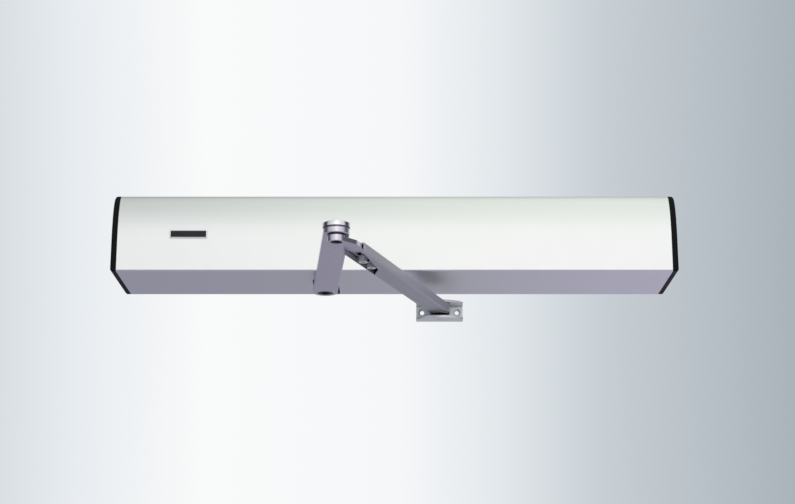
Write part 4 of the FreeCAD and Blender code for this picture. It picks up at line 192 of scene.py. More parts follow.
class Graph:
    """The node tree of one material or of the world."""

    MIX_LOW = 6
    MIX_HIGH = 7
    MIX_RESULT = 2

    def __init__(self, owner: Any) -> None:
        """Empties the owner's node tree and keeps it.

        Args:
            owner: A material or a world.
        """
        owner.use_nodes = True
        self.tree = owner.node_tree
        self.tree.nodes.clear()

    def node(self, kind: str, settings: dict[str, Any] | None = None,
             inputs: dict[SocketKey, Any] | None = None, output: SocketKey = 0) -> Signal:
        """Adds a node of any type.

        Args:
            kind: The node's type.
            settings: Its own settings, set first; "stops" holds a colour ramp's stops.
            inputs: The value or the link of each socket, by name or by place.
            output: The socket that is wanted, by name or by place.

        Returns:
            That socket as a signal.
        """
        made = self.tree.nodes.new(kind)
        for name, value in (settings or {}).items():
            if name == "stops":
                self._set_stops(made.color_ramp, value)
            else:
                setattr(made, name, value)
        for key, value in (inputs or {}).items():
            if isinstance(value, Signal):
                self.tree.links.new(value.socket, made.inputs[key])
            else:
                made.inputs[key].default_value = value
        return Signal(self, made.outputs[output] if made.outputs else None)

    @staticmethod
    def _set_stops(ramp: bpy.types.ColorRamp, stops: Stops) -> None:
        """Gives a colour ramp its stops.

        Args:
            ramp: The ramp.
            stops: Place and colour of each stop.
        """
        while len(ramp.elements) < len(stops):
            ramp.elements.new(1.0)
        for element, (place, colour) in zip(ramp.elements, stops):
            element.position = place
            element.color = (*colour, 1.0)

    def mix(self, factor: Term, low: Any, high: Any, blend: Blend = Blend.MIX) -> Signal:
        """A colour between two colours, or their product.

        Args:
            factor: Zero for the first colour, one for the second.
            low: The first colour, plain or linked.
            high: The second colour, plain or linked.
            blend: How the two become one.

        Returns:
            The mixed colour.
        """
        ends = [(*end, 1.0) if isinstance(end, tuple) else end for end in (low, high)]
        return self.node("ShaderNodeMix", {"data_type": "RGBA", "blend_type": blend.value},
                         {0: factor, self.MIX_LOW: ends[0], self.MIX_HIGH: ends[1]}, self.MIX_RESULT)

    def ramp(self, number: Signal, stops: Stops, gain: float = 0.5) -> Signal:
        """A colour ramp whose middle lies where a number is zero.

        Args:
            number: The number.
            stops: The ramp's stops.
            gain: How fast the number runs over the ramp.

        Returns:
            The colour.
        """
        return self.node("ShaderNodeValToRGB", {"stops": stops}, {0: number * gain + 0.5})

    def stretched(self, place: Signal, stretch: Place) -> Signal:
        """The place with each of its directions stretched."""
        return self.node("ShaderNodeVectorMath", {"operation": "MULTIPLY"}, {0: place, 1: stretch})

    def noise(self, place: Signal, scale: float, detail: float = 2.0, rough: float = 0.5) -> Signal:
        """Soft noise.

        Args:
            place: Where it is read.
            scale: Features in a metre.
            detail: How many finer layers it has.
            rough: How strong those are.

        Returns:
            The noise, about one half on average.
        """
        values = {"Vector": place, "Scale": scale, "Detail": detail, "Roughness": rough}
        return self.node("ShaderNodeTexNoise", {}, values)

    def ray(self, kind: Ray) -> Signal:
        """One for rays of a kind, zero for others."""
        return self.node("ShaderNodeLightPath", {}, {}, kind.value)


@dataclass(frozen=True)
class AgeingAndShade:
    """How clouds, worn edges with their painted glint, and painted shade in crevices show, the same in
    every finish.
    """

    cloud_scale: float = 35.0
    cloud_detail: float = 3.0
    cloud_share: float = 0.45
    rim_samples: int = 4
    rim_gain: float = 6.0
    fleck_scale: float = 900.0
    fleck_detail: float = 3.0
    # The lighter colour of rubbed edges: partly wear, partly a painted glint.
    worn_glint_base: float = 0.12
    worn_glint_gain: float = 1.25
    worn_polish: float = 0.1
    # Painted shade: the dark that joint lines and inner corners get from ambient occlusion.
    crevice_shade_colour: Colour = (0.004, 0.004, 0.005)
    crevice_shade_samples: int = 8
    crevice_shade_reach: float = 0.003
    crevice_shade_start: float = 0.72
    crevice_shade_gain: float = 2.6


@dataclass(frozen=True)
class Relief:
    """The numbers of each pattern that are the same in every finish."""

    extruded_stretch: float = 0.004
    brushed_stretch: float = 0.03
    line_detail: float = 4.0
    line_rough: float = 0.6
    line_gain: float = 1.6
    ring_detail: float = 3.0
    ring_rough: float = 0.6
    ring_gain: float = 1.5
    cast_detail: float = 5.0
    cast_rough: float = 0.65
    cast_swell: float = 7.0
    cast_swell_share: float = 0.3
    grain_smoothness: float = 0.6
    grain_cell_height: float = 0.8
    grain_swell: float = 3.0
    grain_swell_height: float = 0.3
    layer_distortion: float = 0.6
    layer_detail: float = 1.0
    layer_detail_scale: float = 3.0
    layer_noise_share: float = 0.15
    track_gap: float = 0.09
    track_height: float = 0.85


AGEING_AND_SHADE = AgeingAndShade()
RELIEF = Relief()


@dataclass(frozen=True)
class Finish:
    """One finish: its colours, its shine and the pattern of its relief.

    The scale counts features in a metre. Relief, edge and centre are in metres.
    """

    name: str
    colour: Colour
    shade: Colour
    roughness: float
    pattern: Pattern
    scale: float
    relief: float
    metallic: float = 1.0
    spread: float = 0.1
    axis: Axis = Axis.X
    coat: float = 0.0
    coat_roughness: float = 0.12
    # How much edges lighten: partly wear, partly a painted glint.
    wear_and_glint: float = 0.0
    specular: float = 0.5
    # How strong the painted shade in joint lines and inner corners is.
    crevice_shade: float = 0.85
    edge: float = 0.0003
    centre: Place = (0.0, 0.0, 0.0)

    def material(self) -> bpy.types.Material:
        """Builds the material.

        Returns:
            The finished material.
        """
        made = bpy.data.materials.new(self.name)
        graph = Graph(made)
        place = graph.node("ShaderNodeTexCoord", {}, {}, "Object")
        height = self._height(graph, place)
        cloud = graph.noise(place, AGEING_AND_SHADE.cloud_scale, AGEING_AND_SHADE.cloud_detail)
        tone = height.blended(cloud, AGEING_AND_SHADE.cloud_share).clamped()
        colour = graph.mix(tone, self.shade, self.colour)
        roughness = self.roughness + (0.5 - tone) * self.spread
        rounded = graph.node("ShaderNodeBevel", {"samples": AGEING_AND_SHADE.rim_samples}, {"Radius": self.edge})
        # Edges lighten with flecks: partly wear, partly a painted glint.
        if self.wear_and_glint:
            flecks = graph.noise(place, AGEING_AND_SHADE.fleck_scale, AGEING_AND_SHADE.fleck_detail)
            worn_and_glint = (self._rim(graph, rounded) * flecks * self.wear_and_glint).clamped()
            worn_glint_colour = tuple(min(1.0, AGEING_AND_SHADE.worn_glint_base + AGEING_AND_SHADE.worn_glint_gain * part) for part in self.colour)
            colour = graph.mix(worn_and_glint, colour, worn_glint_colour)
            roughness = roughness - worn_and_glint * AGEING_AND_SHADE.worn_polish
        # Painted shade: joint lines and inner corners darken where ambient occlusion finds them closed
        # in.
        colour = graph.mix(self._crevice_shade_mask(graph) * self.crevice_shade, colour, AGEING_AND_SHADE.crevice_shade_colour)
        bump = graph.node("ShaderNodeBump", {}, {"Strength": 1.0, "Distance": self.relief,
                                                 "Height": height, "Normal": rounded})
        shader = graph.node("ShaderNodeBsdfPrincipled", {}, {
            "Base Color": colour, "Metallic": self.metallic, "Roughness": roughness.clamped(),
            "Specular IOR Level": self.specular, "Coat Weight": self.coat,
            "Coat Roughness": self.coat_roughness, "Normal": bump})
        graph.node("ShaderNodeOutputMaterial", {}, {"Surface": shader})
        made.diffuse_color = (*self.colour, 1.0)
        return made

    @staticmethod
    def _crevice_shade_mask(graph: Graph) -> Signal:
        """Where the surface lies in a joint line or an inner corner, as a mask of painted shade from
        ambient occlusion.
        """
        open_share = graph.node("ShaderNodeAmbientOcclusion", {"samples": AGEING_AND_SHADE.crevice_shade_samples},
                                {"Distance": AGEING_AND_SHADE.crevice_shade_reach}, "AO")
        return ((AGEING_AND_SHADE.crevice_shade_start - open_share) * AGEING_AND_SHADE.crevice_shade_gain).clamped()

    @staticmethod
    def _rim(graph: Graph, rounded: Signal) -> Signal:
        """Where the surface turns over an edge.

        Args:
            graph: The material's graph.
            rounded: The normal with its edges rounded.

        Returns:
            A mask.
        """
        flat = graph.node("ShaderNodeNewGeometry", {}, {}, "True Normal")
        facing = graph.node("ShaderNodeVectorMath", {"operation": "DOT_PRODUCT"},
                            {0: rounded, 1: flat}, "Value")
        return ((1.0 - facing) * AGEING_AND_SHADE.rim_gain).clamped()

    def _height(self, graph: Graph, place: Signal) -> Signal:
        """The height of the surface's pattern.

        Args:
            graph: The material's graph.
            place: The place on the surface.

        Returns:
            A number from zero to one.
        """
        makers = {Pattern.EXTRUDED: self._lines, Pattern.BRUSHED: self._lines,
                  Pattern.GRAIN: self._grain, Pattern.CAST: self._cast, Pattern.TURNED: self._rings,
                  Pattern.LAYERED: self._layers, Pattern.BOARD: self._tracks}
        return makers[self.pattern](graph, place)

    def _lines(self, graph: Graph, place: Signal) -> Signal:
        """Fine lines along the axis.

        Args:
            graph: The material's graph.
            place: The place on the surface.

        Returns:
            Their height.
        """
        extruded = self.pattern is Pattern.EXTRUDED
        stretch = [1.0, 1.0, 1.0]
        stretch[self.axis.value] = RELIEF.extruded_stretch if extruded else RELIEF.brushed_stretch
        lines = graph.noise(graph.stretched(place, tuple(stretch)), self.scale, RELIEF.line_detail,
                            RELIEF.line_rough)
        return lines.sharpened(RELIEF.line_gain)

    def _cast(self, graph: Graph, place: Signal) -> Signal:
        """The skin of a casting.

        Args:
            graph: The material's graph.
            place: The place on the surface.

        Returns:
            Its height.
        """
        fine = graph.noise(place, self.scale, RELIEF.cast_detail, RELIEF.cast_rough)
        swell = graph.noise(place, self.scale / RELIEF.cast_swell)
        return fine.blended(swell, RELIEF.cast_swell_share).clamped()

    def _grain(self, graph: Graph, place: Signal) -> Signal:
        """The grain of moulded plastic or of a lacquer.

        Args:
            graph: The material's graph.
            place: The place on the surface.

        Returns:
            Its height.
        """
        cells = graph.node("ShaderNodeTexVoronoi", {"feature": "SMOOTH_F1"},
                           {"Vector": place, "Scale": self.scale, "Smoothness": RELIEF.grain_smoothness},
                           "Distance")
        swell = graph.noise(place, self.scale / RELIEF.grain_swell)
        return (cells * RELIEF.grain_cell_height + swell * RELIEF.grain_swell_height).clamped()

    def _rings(self, graph: Graph, place: Signal) -> Signal:
        """Fine rings about the axis through the finish's centre.

        Args:
            graph: The material's graph.
            place: The place on the surface.

        Returns:
            Their height.
        """
        moved = graph.node("ShaderNodeVectorMath", {"operation": "SUBTRACT"}, {0: place, 1: self.centre})
        parts = [graph.node("ShaderNodeSeparateXYZ", {}, {0: moved}, output) for output in range(3)]
        along = parts.pop(self.axis.value)
        radius = parts[0].length_with(parts[1])
        spot = graph.node("ShaderNodeCombineXYZ", {}, {0: radius, 1: along})
        rings = graph.noise(spot, self.scale, RELIEF.ring_detail, RELIEF.ring_rough)
        return rings.sharpened(RELIEF.ring_gain)

    def _layers(self, graph: Graph, place: Signal) -> Signal:
        """Even layers across the axis, such as sheets or turns of wire.

        Args:
            graph: The material's graph.
            place: The place on the surface.

        Returns:
            Their height.
        """
        wave = graph.node("ShaderNodeTexWave", {"bands_direction": self.axis.name},
                          {"Vector": place, "Scale": self.scale, "Distortion": RELIEF.layer_distortion,
                           "Detail": RELIEF.layer_detail, "Detail Scale": RELIEF.layer_detail_scale},
                          "Fac")
        return wave.blended(graph.noise(place, self.scale), RELIEF.layer_noise_share).clamped()

    def _tracks(self, graph: Graph, place: Signal) -> Signal:
        """Copper tracks under the board's lacquer."""
        cells = graph.node("ShaderNodeTexVoronoi", {"feature": "DISTANCE_TO_EDGE"},
                           {"Vector": place, "Scale": self.scale}, "Distance")
        return 1.0 - (cells > RELIEF.track_gap) * RELIEF.track_height


ANODISED = Finish("anodised_cover", (0.86, 0.87, 0.865), (0.83, 0.84, 0.845), roughness=0.36,
                  pattern=Pattern.EXTRUDED, scale=2600.0, relief=0.000004, spread=0.05, crevice_shade=0.3,
                  edge=0.0004)
CAP_PLASTIC = Finish("cap_plastic", (0.006, 0.006, 0.0075), (0.003, 0.003, 0.0035), metallic=0.0,
                     roughness=0.55, pattern=Pattern.GRAIN, scale=2400.0, relief=0.00003, spread=0.12,
                     wear_and_glint=0.12, specular=0.1, edge=0.0005)
ZINC_SHEET = Finish("zinc_sheet", (0.74, 0.75, 0.76), (0.6, 0.61, 0.64), roughness=0.34,
                    pattern=Pattern.BRUSHED, scale=1400.0, relief=0.000006, spread=0.14, wear_and_glint=0.3)
SHOE_ZINC = Finish("shoe_zinc", (0.88, 0.91, 0.895), (0.8, 0.84, 0.82), metallic=0.72, roughness=0.38,
                   pattern=Pattern.CAST, scale=1800.0, relief=0.000008, spread=0.12, wear_and_glint=0.4,
                   edge=0.0004)
TINNED_BRONZE = Finish("tinned_bronze", (0.92, 0.92, 0.9), (0.84, 0.84, 0.81), metallic=0.65,
                       roughness=0.3, pattern=Pattern.TURNED, scale=2600.0, relief=0.000005, spread=0.08,
                       axis=Axis.Z)
CAST_METAL = Finish("cast_metal", (0.62, 0.63, 0.64), (0.48, 0.49, 0.5), roughness=0.5,
                    pattern=Pattern.CAST, scale=1100.0, relief=0.00008, spread=0.15, wear_and_glint=0.7,
                    edge=0.0006)
ARM_SILVER = Finish("arm_silver", (0.76, 0.74, 0.8), (0.68, 0.66, 0.73), roughness=0.28,
                    pattern=Pattern.GRAIN, scale=3200.0, relief=0.000008, wear_and_glint=0.5, edge=0.0004)
CHANNEL_SILVER = Finish("channel_silver", (0.56, 0.57, 0.59), (0.48, 0.49, 0.52), metallic=0.85,
                        roughness=0.5, pattern=Pattern.GRAIN, scale=3200.0, relief=0.000008, wear_and_glint=0.5,
                        edge=0.0004)
TURNED_STEEL = Finish("turned_steel", (0.94, 0.94, 0.93), (0.8, 0.8, 0.82), roughness=0.12,
                      pattern=Pattern.TURNED, scale=2200.0, relief=0.00001, axis=Axis.Z)
SCREW_STEEL = Finish("screw_steel", (0.86, 0.86, 0.87), (0.72, 0.72, 0.74), roughness=0.2,
                     pattern=Pattern.CAST, scale=2500.0, relief=0.000006, wear_and_glint=0.4)
BRIGHT_ZINC = Finish("bright_zinc", (0.97, 0.98, 1.0), (0.88, 0.9, 0.92), metallic=0.7, roughness=0.16,
                     pattern=Pattern.CAST, scale=2500.0, relief=0.000006, spread=0.08, wear_and_glint=0.3)
BLACK_OXIDE = Finish("black_oxide", (0.03, 0.03, 0.032), (0.015, 0.015, 0.017), metallic=0.6,
                     roughness=0.42, pattern=Pattern.CAST, scale=2500.0, relief=0.00001, wear_and_glint=0.2)
SPRING_STEEL = Finish("spring_steel", (0.3, 0.3, 0.32), (0.18, 0.18, 0.2), roughness=0.3,
                      pattern=Pattern.CAST, scale=1500.0, relief=0.00001, spread=0.12)
BEARING_STEEL = Finish("bearing_steel", (0.85, 0.85, 0.86), (0.74, 0.74, 0.76), roughness=0.12,
                       pattern=Pattern.TURNED, scale=3000.0, relief=0.000004, spread=0.06, axis=Axis.Z)
SEAL_RUBBER = Finish("seal_rubber", (0.03, 0.03, 0.032), (0.016, 0.016, 0.017), metallic=0.0,
                     roughness=0.72, pattern=Pattern.GRAIN, scale=2600.0, relief=0.00003)
BRASS = Finish("brass", (0.76, 0.58, 0.28), (0.6, 0.44, 0.2), roughness=0.24, pattern=Pattern.TURNED,
               scale=2200.0, relief=0.000008, axis=Axis.Y)
BRONZE = Finish("bronze_bush", (0.58, 0.42, 0.24), (0.44, 0.3, 0.16), roughness=0.4,
                pattern=Pattern.CAST, scale=3500.0, relief=0.00002, spread=0.12)
MOTOR_BLACK = Finish("motor_black", (0.03, 0.03, 0.034), (0.018, 0.018, 0.02), metallic=0.0,
                     roughness=0.45, pattern=Pattern.GRAIN, scale=1700.0, relief=0.00005, coat=0.2,
                     wear_and_glint=0.6)
COPPER = Finish("copper_winding", (0.72, 0.3, 0.13), (0.3, 0.1, 0.04), metallic=0.9, roughness=0.3,
                pattern=Pattern.LAYERED, scale=320.0, relief=0.00015, axis=Axis.Z, coat=0.6)
MAGNET = Finish("magnet", (0.09, 0.09, 0.1), (0.05, 0.05, 0.055), metallic=0.3, roughness=0.55,
                pattern=Pattern.CAST, scale=2000.0, relief=0.00004)
LAMINATIONS = Finish("laminations", (0.34, 0.33, 0.33), (0.12, 0.12, 0.12), metallic=0.9, roughness=0.42,
                     pattern=Pattern.LAYERED, scale=480.0, relief=0.0001, spread=0.12, axis=Axis.Y)
CARRIER_PLASTIC = Finish("carrier_plastic", (0.06, 0.06, 0.066), (0.04, 0.04, 0.044), metallic=0.0,
                         roughness=0.5, pattern=Pattern.GRAIN, scale=2200.0, relief=0.00004)
BOARD_GREEN = Finish("board_green", (0.03, 0.24, 0.1), (0.012, 0.12, 0.05), metallic=0.0, roughness=0.3,
                     pattern=Pattern.BOARD, scale=190.0, relief=0.00003, coat=0.5)
COMPONENT = Finish("component_black", (0.045, 0.045, 0.05), (0.03, 0.03, 0.034), metallic=0.0,
                   roughness=0.32, pattern=Pattern.GRAIN, scale=2600.0, relief=0.00002, coat=0.3)
TERMINAL_GREEN = Finish("terminal_green", (0.1, 0.42, 0.16), (0.06, 0.3, 0.1), metallic=0.0,
                        roughness=0.4, pattern=Pattern.GRAIN, scale=2400.0, relief=0.00002)
ROCKER_PLASTIC = Finish("rocker_plastic", (0.03, 0.03, 0.032), (0.02, 0.02, 0.022), metallic=0.0,
                        roughness=0.18, pattern=Pattern.GRAIN, scale=3000.0, relief=0.000008,
                        spread=0.05, coat=0.5)
PLATE_FRAME = Finish("plate_frame", (0.88, 0.88, 0.89), (0.8, 0.8, 0.82), roughness=0.16,
                     pattern=Pattern.BRUSHED, scale=2600.0, relief=0.000003, spread=0.05)
PLATE_FIELD = Finish("plate_field", (0.012, 0.012, 0.015), (0.008, 0.008, 0.01), metallic=0.0,
                     roughness=0.36, pattern=Pattern.BRUSHED, scale=2600.0, relief=0.000006, spread=0.08,
                     specular=0.3)


class Workshop:
    """Gives each node and each new piece its finish, and makes a finish once."""

    def __init__(self) -> None:
        """Starts with no finish made."""
        self.made: dict[Finish, bpy.types.Material] = {}

    def material(self, finish: Finish) -> bpy.types.Material:
        """The material of a finish.

        Args:
            finish: The finish.

        Returns:
            Its material, made the first time it is asked for.
        """
        if finish not in self.made:
            self.made[finish] = finish.material()
        return self.made[finish]

    def dress(self, finish: Finish, *nodes: str) -> None:
        """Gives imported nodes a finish.

        Args:
            finish: The finish.
            nodes: The nodes' names.
        """
        for name in nodes:
            self._assign(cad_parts[name], finish)
            log.info("dressed %s in %s", name, finish.name)

    def dress_turned(self, finish: Finish, *nodes: str) -> None:
        """Gives turned nodes a finish whose rings run about each node's own axis.

        Args:
            finish: A turned finish.
            nodes: The nodes' names.
        """
        for name in nodes:
            low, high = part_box(name)
            centre = tuple(round(part, 6) for part in (low + high) / 2)
            self.dress(replace(finish, name=f"{finish.name}.{name}", centre=centre), name)

    def _assign(self, piece: bpy.types.Object, finish: Finish) -> None:
        """Puts one material on the whole of an object.

        Args:
            piece: The object.
            finish: The material's finish.
        """
        piece.data.materials.clear()
        piece.data.materials.append(self.material(finish))
        for polygon in piece.data.polygons:
            polygon.material_index = 0

    def piece(self, name: str, mesh: "MeshWork", finish: Finish, body: str,
              slot: str) -> bpy.types.Object:
        """Makes a new piece from mesh work.

        Args:
            name: The piece's name.
            mesh: Its mesh work.
            finish: Its finish.
            body: The body that it rides on.
            slot: The record's material slot; not used.

        Returns:
            The new object.
        """
        made = bpy.data.objects.new(name, mesh.finished(name))
        bpy.context.scene.collection.objects.link(made)
        self._assign(made, finish)
        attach(made, body)
        log.info("made %s on %s", name, body)
        return made


class MeshWork:
    """A mesh under construction."""

    def __init__(self) -> None:
        """Starts an empty mesh."""
        self.mesh = bmesh.new()

    @classmethod
    def copied(cls, piece: bpy.types.Object) -> "MeshWork":
        """Starts with the faces of an object, joined where its mesh is split.

        Args:
            piece: The object.

        Returns:
            The new mesh work.
        """
        work = cls()
        corners = [work.mesh.verts.new(vertex.co) for vertex in piece.data.vertices]
        for polygon in piece.data.polygons:
            work.mesh.faces.new([corners[index] for index in polygon.vertices])
        bmesh.ops.remove_doubles(work.mesh, verts=work.mesh.verts, dist=WELD_DISTANCE)
        return work

    def cut(self, faces: list[bmesh.types.BMFace], place: Vector, normal: Vector) -> None:
        """Cuts faces along a plane and keeps both sides.

        Args:
            faces: The faces.
            place: A point of the plane.
            normal: The plane's normal.
        """
        edges = {edge for face in faces for edge in face.edges}
        vertices = {vertex for face in faces for vertex in face.verts}
        bmesh.ops.bisect_plane(self.mesh, geom=[*vertices, *edges, *faces], dist=WELD_DISTANCE,
                               plane_co=place, plane_no=normal)

    def keep_side(self, place: Vector, side: Vector) -> None:
        """Cuts off what lies behind a plane and closes the cut.

        Args:
            place: A point of the plane.
            side: The direction in which the mesh stays.
        """
        everything = [*self.mesh.verts, *self.mesh.edges, *self.mesh.faces]
        cut = bmesh.ops.bisect_plane(self.mesh, geom=everything, dist=WELD_DISTANCE, plane_co=place,
                                     plane_no=side, clear_inner=True)
        rim = [item for item in cut["geom_cut"] if isinstance(item, bmesh.types.BMEdge)]
        bmesh.ops.holes_fill(self.mesh, edges=rim)

    def loft(self, loops: Iterable[Loop], ring: bool = False) -> None:
        """Skins a row of loops that have equally many points.

        Args:
            loops: The loops in order.
            ring: Whether the last loop joins the first; otherwise both get a face.
        """
        rows = [[self.mesh.verts.new(point) for point in loop] for loop in loops]
        pairs = list(zip(rows, rows[1:])) + ([(rows[-1], rows[0])] if ring else [])
        for near, far in pairs:
            for index in range(len(near)):
                after = (index + 1) % len(near)
                self.mesh.faces.new((near[index], near[after], far[after], far[index]))
        if not ring:
            self.mesh.faces.new(list(reversed(rows[0])))
            self.mesh.faces.new(rows[-1])

    def finished(self, name: str) -> bpy.types.Mesh:
        """Closes the work into a mesh that is smooth up to the crease angle.

        Args:
            name: The mesh's name.

        Returns:
            The mesh.
        """
        bmesh.ops.recalc_face_normals(self.mesh, faces=self.mesh.faces)
        for face in self.mesh.faces:
            face.smooth = True
        for edge in self.mesh.edges:
            if edge.is_manifold and edge.calc_face_angle() > CREASE_ANGLE:
                edge.smooth = False
        mesh = bpy.data.meshes.new(name)
        self.mesh.to_mesh(mesh)
        self.mesh.free()
        return mesh


def rounded_loop(centre: Vector, width: float, height: float, corner: float) -> Loop:
    """A rectangle with round corners that faces -Y.

    Args:
        centre: Its middle.
        width: Its size along X.
        height: Its size along Z.
        corner: The radius of its corners.

    Returns:
        Its points in order.
    """
    points = []
    for quarter, (side, level) in enumerate(((1, 1), (-1, 1), (-1, -1), (1, -1))):
        middle = centre + Vector((side * (width / 2 - corner), 0, level * (height / 2 - corner)))
        for step in range(CORNER_STEPS + 1):
            angle = math.pi / 2 * (quarter + step / CORNER_STEPS)
            points.append(middle + Vector((corner * math.cos(angle), 0, corner * math.sin(angle))))
    return points


def slab(centre: Vector, width: float, height: float, rise: float, corner: float,
         edge: float) -> list[Loop]:
    """The loops of a plate that stands out along -Y and has a rounded front edge.

    Args:
        centre: The middle of its back.
        width: Its size along X.
        height: Its size along Z.
        rise: How far it stands out.
        corner: The radius of its corners.
        edge: The radius of its front edge.

    Returns:
        The loops from back to front.
    """
    loops = [rounded_loop(centre, width, height, corner)]
    for step in range(EDGE_STEPS + 1):
        angle = math.pi / 2 * step / EDGE_STEPS
        inset = edge * (1 - math.cos(angle))
        out = rise - edge + edge * math.sin(angle)
        loops.append(rounded_loop(centre + Vector((0, -out, 0)), width - 2 * inset, height - 2 * inset,
                                  max(corner - inset, corner / 3)))
    return loops


@dataclass
class Housing:
    """The cover with its bare plate, both end caps and the rocker switch.

    The photograph shows a front that leans back slowly from its middle and turns over tightly at the
    top, where the solids have one round edge. So copies of the cover and of both caps, with an elliptic
    edge, stand for the nodes. A level is zero at the middle of the edge and one at the solids' surface.
    Below the still level nothing moves, and above the moved level all does.
    """

    front: float = -0.12
    top: float = 0.05
    arc: float = 0.038
    edge_depth: float = 0.02
    edge_height: float = 0.06
    edge_cuts: int = 36
    still_level: float = 0.5
    moved_level: float = 0.85
    plate_centre: tuple[float, float] = (-0.251, -0.0036)
    plate_size: tuple[float, float] = (0.046, 0.0104)
    plate_corner: float = 0.0009
    plate_rise: float = 0.001
    rim_width: float = 0.0014
    rim_profile: tuple[tuple[float, float], ...] = ((0.0, 0.0), (0.0, 0.7), (0.25, 1.0), (0.75, 1.0),
                                                    (1.0, 0.7), (1.0, 0.0))
    rim_corner_loss: float = 0.6
    field_rise: float = 0.0006
    field_corner: float = 0.00045
    field_edge: float = 0.0002

    def build(self, shop: Workshop) -> None:
        """Dresses the nodes, adds the three shells and the plate.

        Args:
            shop: Where the finishes come from.
        """
        self._tighten(shop, "cover", "cover_shell", ANODISED, "cover", "anodised_cover")
        self._tighten(shop, "left_end_cap", "left_cap_shell", CAP_PLASTIC, "housing", "cap_plastic")
        self._tighten(shop, "right_end_cap", "right_cap_shell", CAP_PLASTIC, "housing", "cap_plastic")
        shop.dress(CAP_PLASTIC, "switch_body")
        shop.dress(ROCKER_PLASTIC, "switch_rocker")
        shop.dress(SCREW_STEEL, "end_cap_screws")
        self._plate_frame(shop)
        self._plate_field(shop)

    def _tighten(self, shop: Workshop, node: str, name: str, finish: Finish, body: str,
                 slot: str) -> None:
        """Lets a copy with the elliptic edge stand for a node.

        Args:
            shop: Where the finishes come from.
            node: The node's name.
            name: The new piece's name.
            finish: The piece's finish.
            body: The body that it rides on.
            slot: The record's material slot.
        """
        work = MeshWork.copied(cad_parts[node])
        middle = Vector((0.0, self.front + self.arc, self.top - self.edge_height))
        self._cut_edge(work, middle)
        for vertex in work.mesh.verts:
            self._move(vertex, middle)
        piece = shop.piece(name, work, finish, body, slot)
        piece.modifiers.new("even_normals", "WEIGHTED_NORMAL").keep_sharp = True
        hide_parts(node)

    def _cut_edge(self, work: MeshWork, middle: Vector) -> None:
        """Cuts the faces round the edge into narrow strips, so that they can bend.

        Args:
            work: The copy.
            middle: The point that the cuts fan out from.
        """
        for cut in range(1, self.edge_cuts):
            angle = math.pi / 2 * cut / self.edge_cuts
            faces = [face for face in work.mesh.faces
                     if any(vertex.co.y < middle.y and vertex.co.z > middle.z for vertex in face.verts)]
            work.cut(faces, middle, Vector((0.0, math.sin(angle), math.cos(angle))))

    def _move(self, vertex: bmesh.types.BMVert, middle: Vector) -> None:
        """Moves a point of the round edge to the elliptic one, and one far inside it not at all.

        Args:
            vertex: The point.
            middle: The middle of the edge.
        """
        forward, upward = middle.y - vertex.co.y, vertex.co.z - middle.z
        if forward <= 0.0 or upward <= 0.0:
            return
        reach = math.hypot(forward, upward)
        way = (forward / reach, upward / reach)
        level = reach / self._round_reach(*way)
        share = min(1.0, max(0.0, (level - self.still_level) / (self.moved_level - self.still_level)))
        growth = share * (self._edge_reach(*way) / self._round_reach(*way) - 1.0)
        vertex.co.y -= forward * growth
        vertex.co.z += upward * growth

    def _round_reach(self, forward: float, upward: float) -> float:
        """How far the solids' surface lies from the middle of the edge.

        Args:
            forward: The part of the direction that points to the front.
            upward: The part that points up.

        Returns:
            The distance along that direction.
        """
        rise = self.edge_height - self.arc
        if upward * self.arc <= forward * rise:
            return self.arc / forward
        return upward * rise + math.sqrt((upward * rise) ** 2 + self.arc ** 2 - rise ** 2)

    def _edge_reach(self, forward: float, upward: float) -> float:
        """How far the elliptic surface lies from the middle of the edge.

        Args:
            forward: The part of the direction that points to the front.
            upward: The part that points up.

        Returns:
            The distance along that direction.
        """
        start = self.arc - self.edge_depth
        across, along = forward / self.edge_depth, upward / self.edge_height
        offset = start / self.edge_depth
        square = across * across + along * along
        half = across * offset
        distance = (half + math.sqrt(half * half - square * (offset * offset - 1.0))) / square
        return distance if forward * distance > start else self.edge_height / upward

    def _middle(self, out: float = 0.0) -> Vector:
        """The plate's middle, a distance out from the cover's front."""
        return Vector((self.plate_centre[0], self.front - out, self.plate_centre[1]))

    def _plate_frame(self, shop: Workshop) -> None:
        """Adds the bright rim of the plate.

        Args:
            shop: Where the finish comes from.
        """
        width, height = self.plate_size
        loops = []
        for inset, out in self.rim_profile:
            shrink = 2 * inset * self.rim_width
            corner = self.plate_corner * (1 - self.rim_corner_loss * inset)
            middle = self._middle(out * self.plate_rise)
            loops.append(rounded_loop(middle, width - shrink, height - shrink, corner))
        work = MeshWork()
        work.loft(loops, ring=True)
        shop.piece("plate_rim", work, PLATE_FRAME, "cover", "turned_steel")

    def _plate_field(self, shop: Workshop) -> None:
        """Adds the bare dark field inside the rim.

        Args:
            shop: Where the finish comes from.
        """
        width, height = (size - 2 * self.rim_width for size in self.plate_size)
        work = MeshWork()
        work.loft(slab(self._middle(), width, height, self.field_rise, self.field_corner,
                       self.field_edge))
        shop.piece("plate_field", work, PLATE_FIELD, "cover", "cap_plastic")


@dataclass
class BackPlate:
    """The mounting plate with its cable grommet."""

    def build(self, shop: Workshop) -> None:
        """Dresses the nodes."""
        shop.dress(ZINC_SHEET, "mounting_plate")
        shop.dress(SEAL_RUBBER, "cable_grommet")


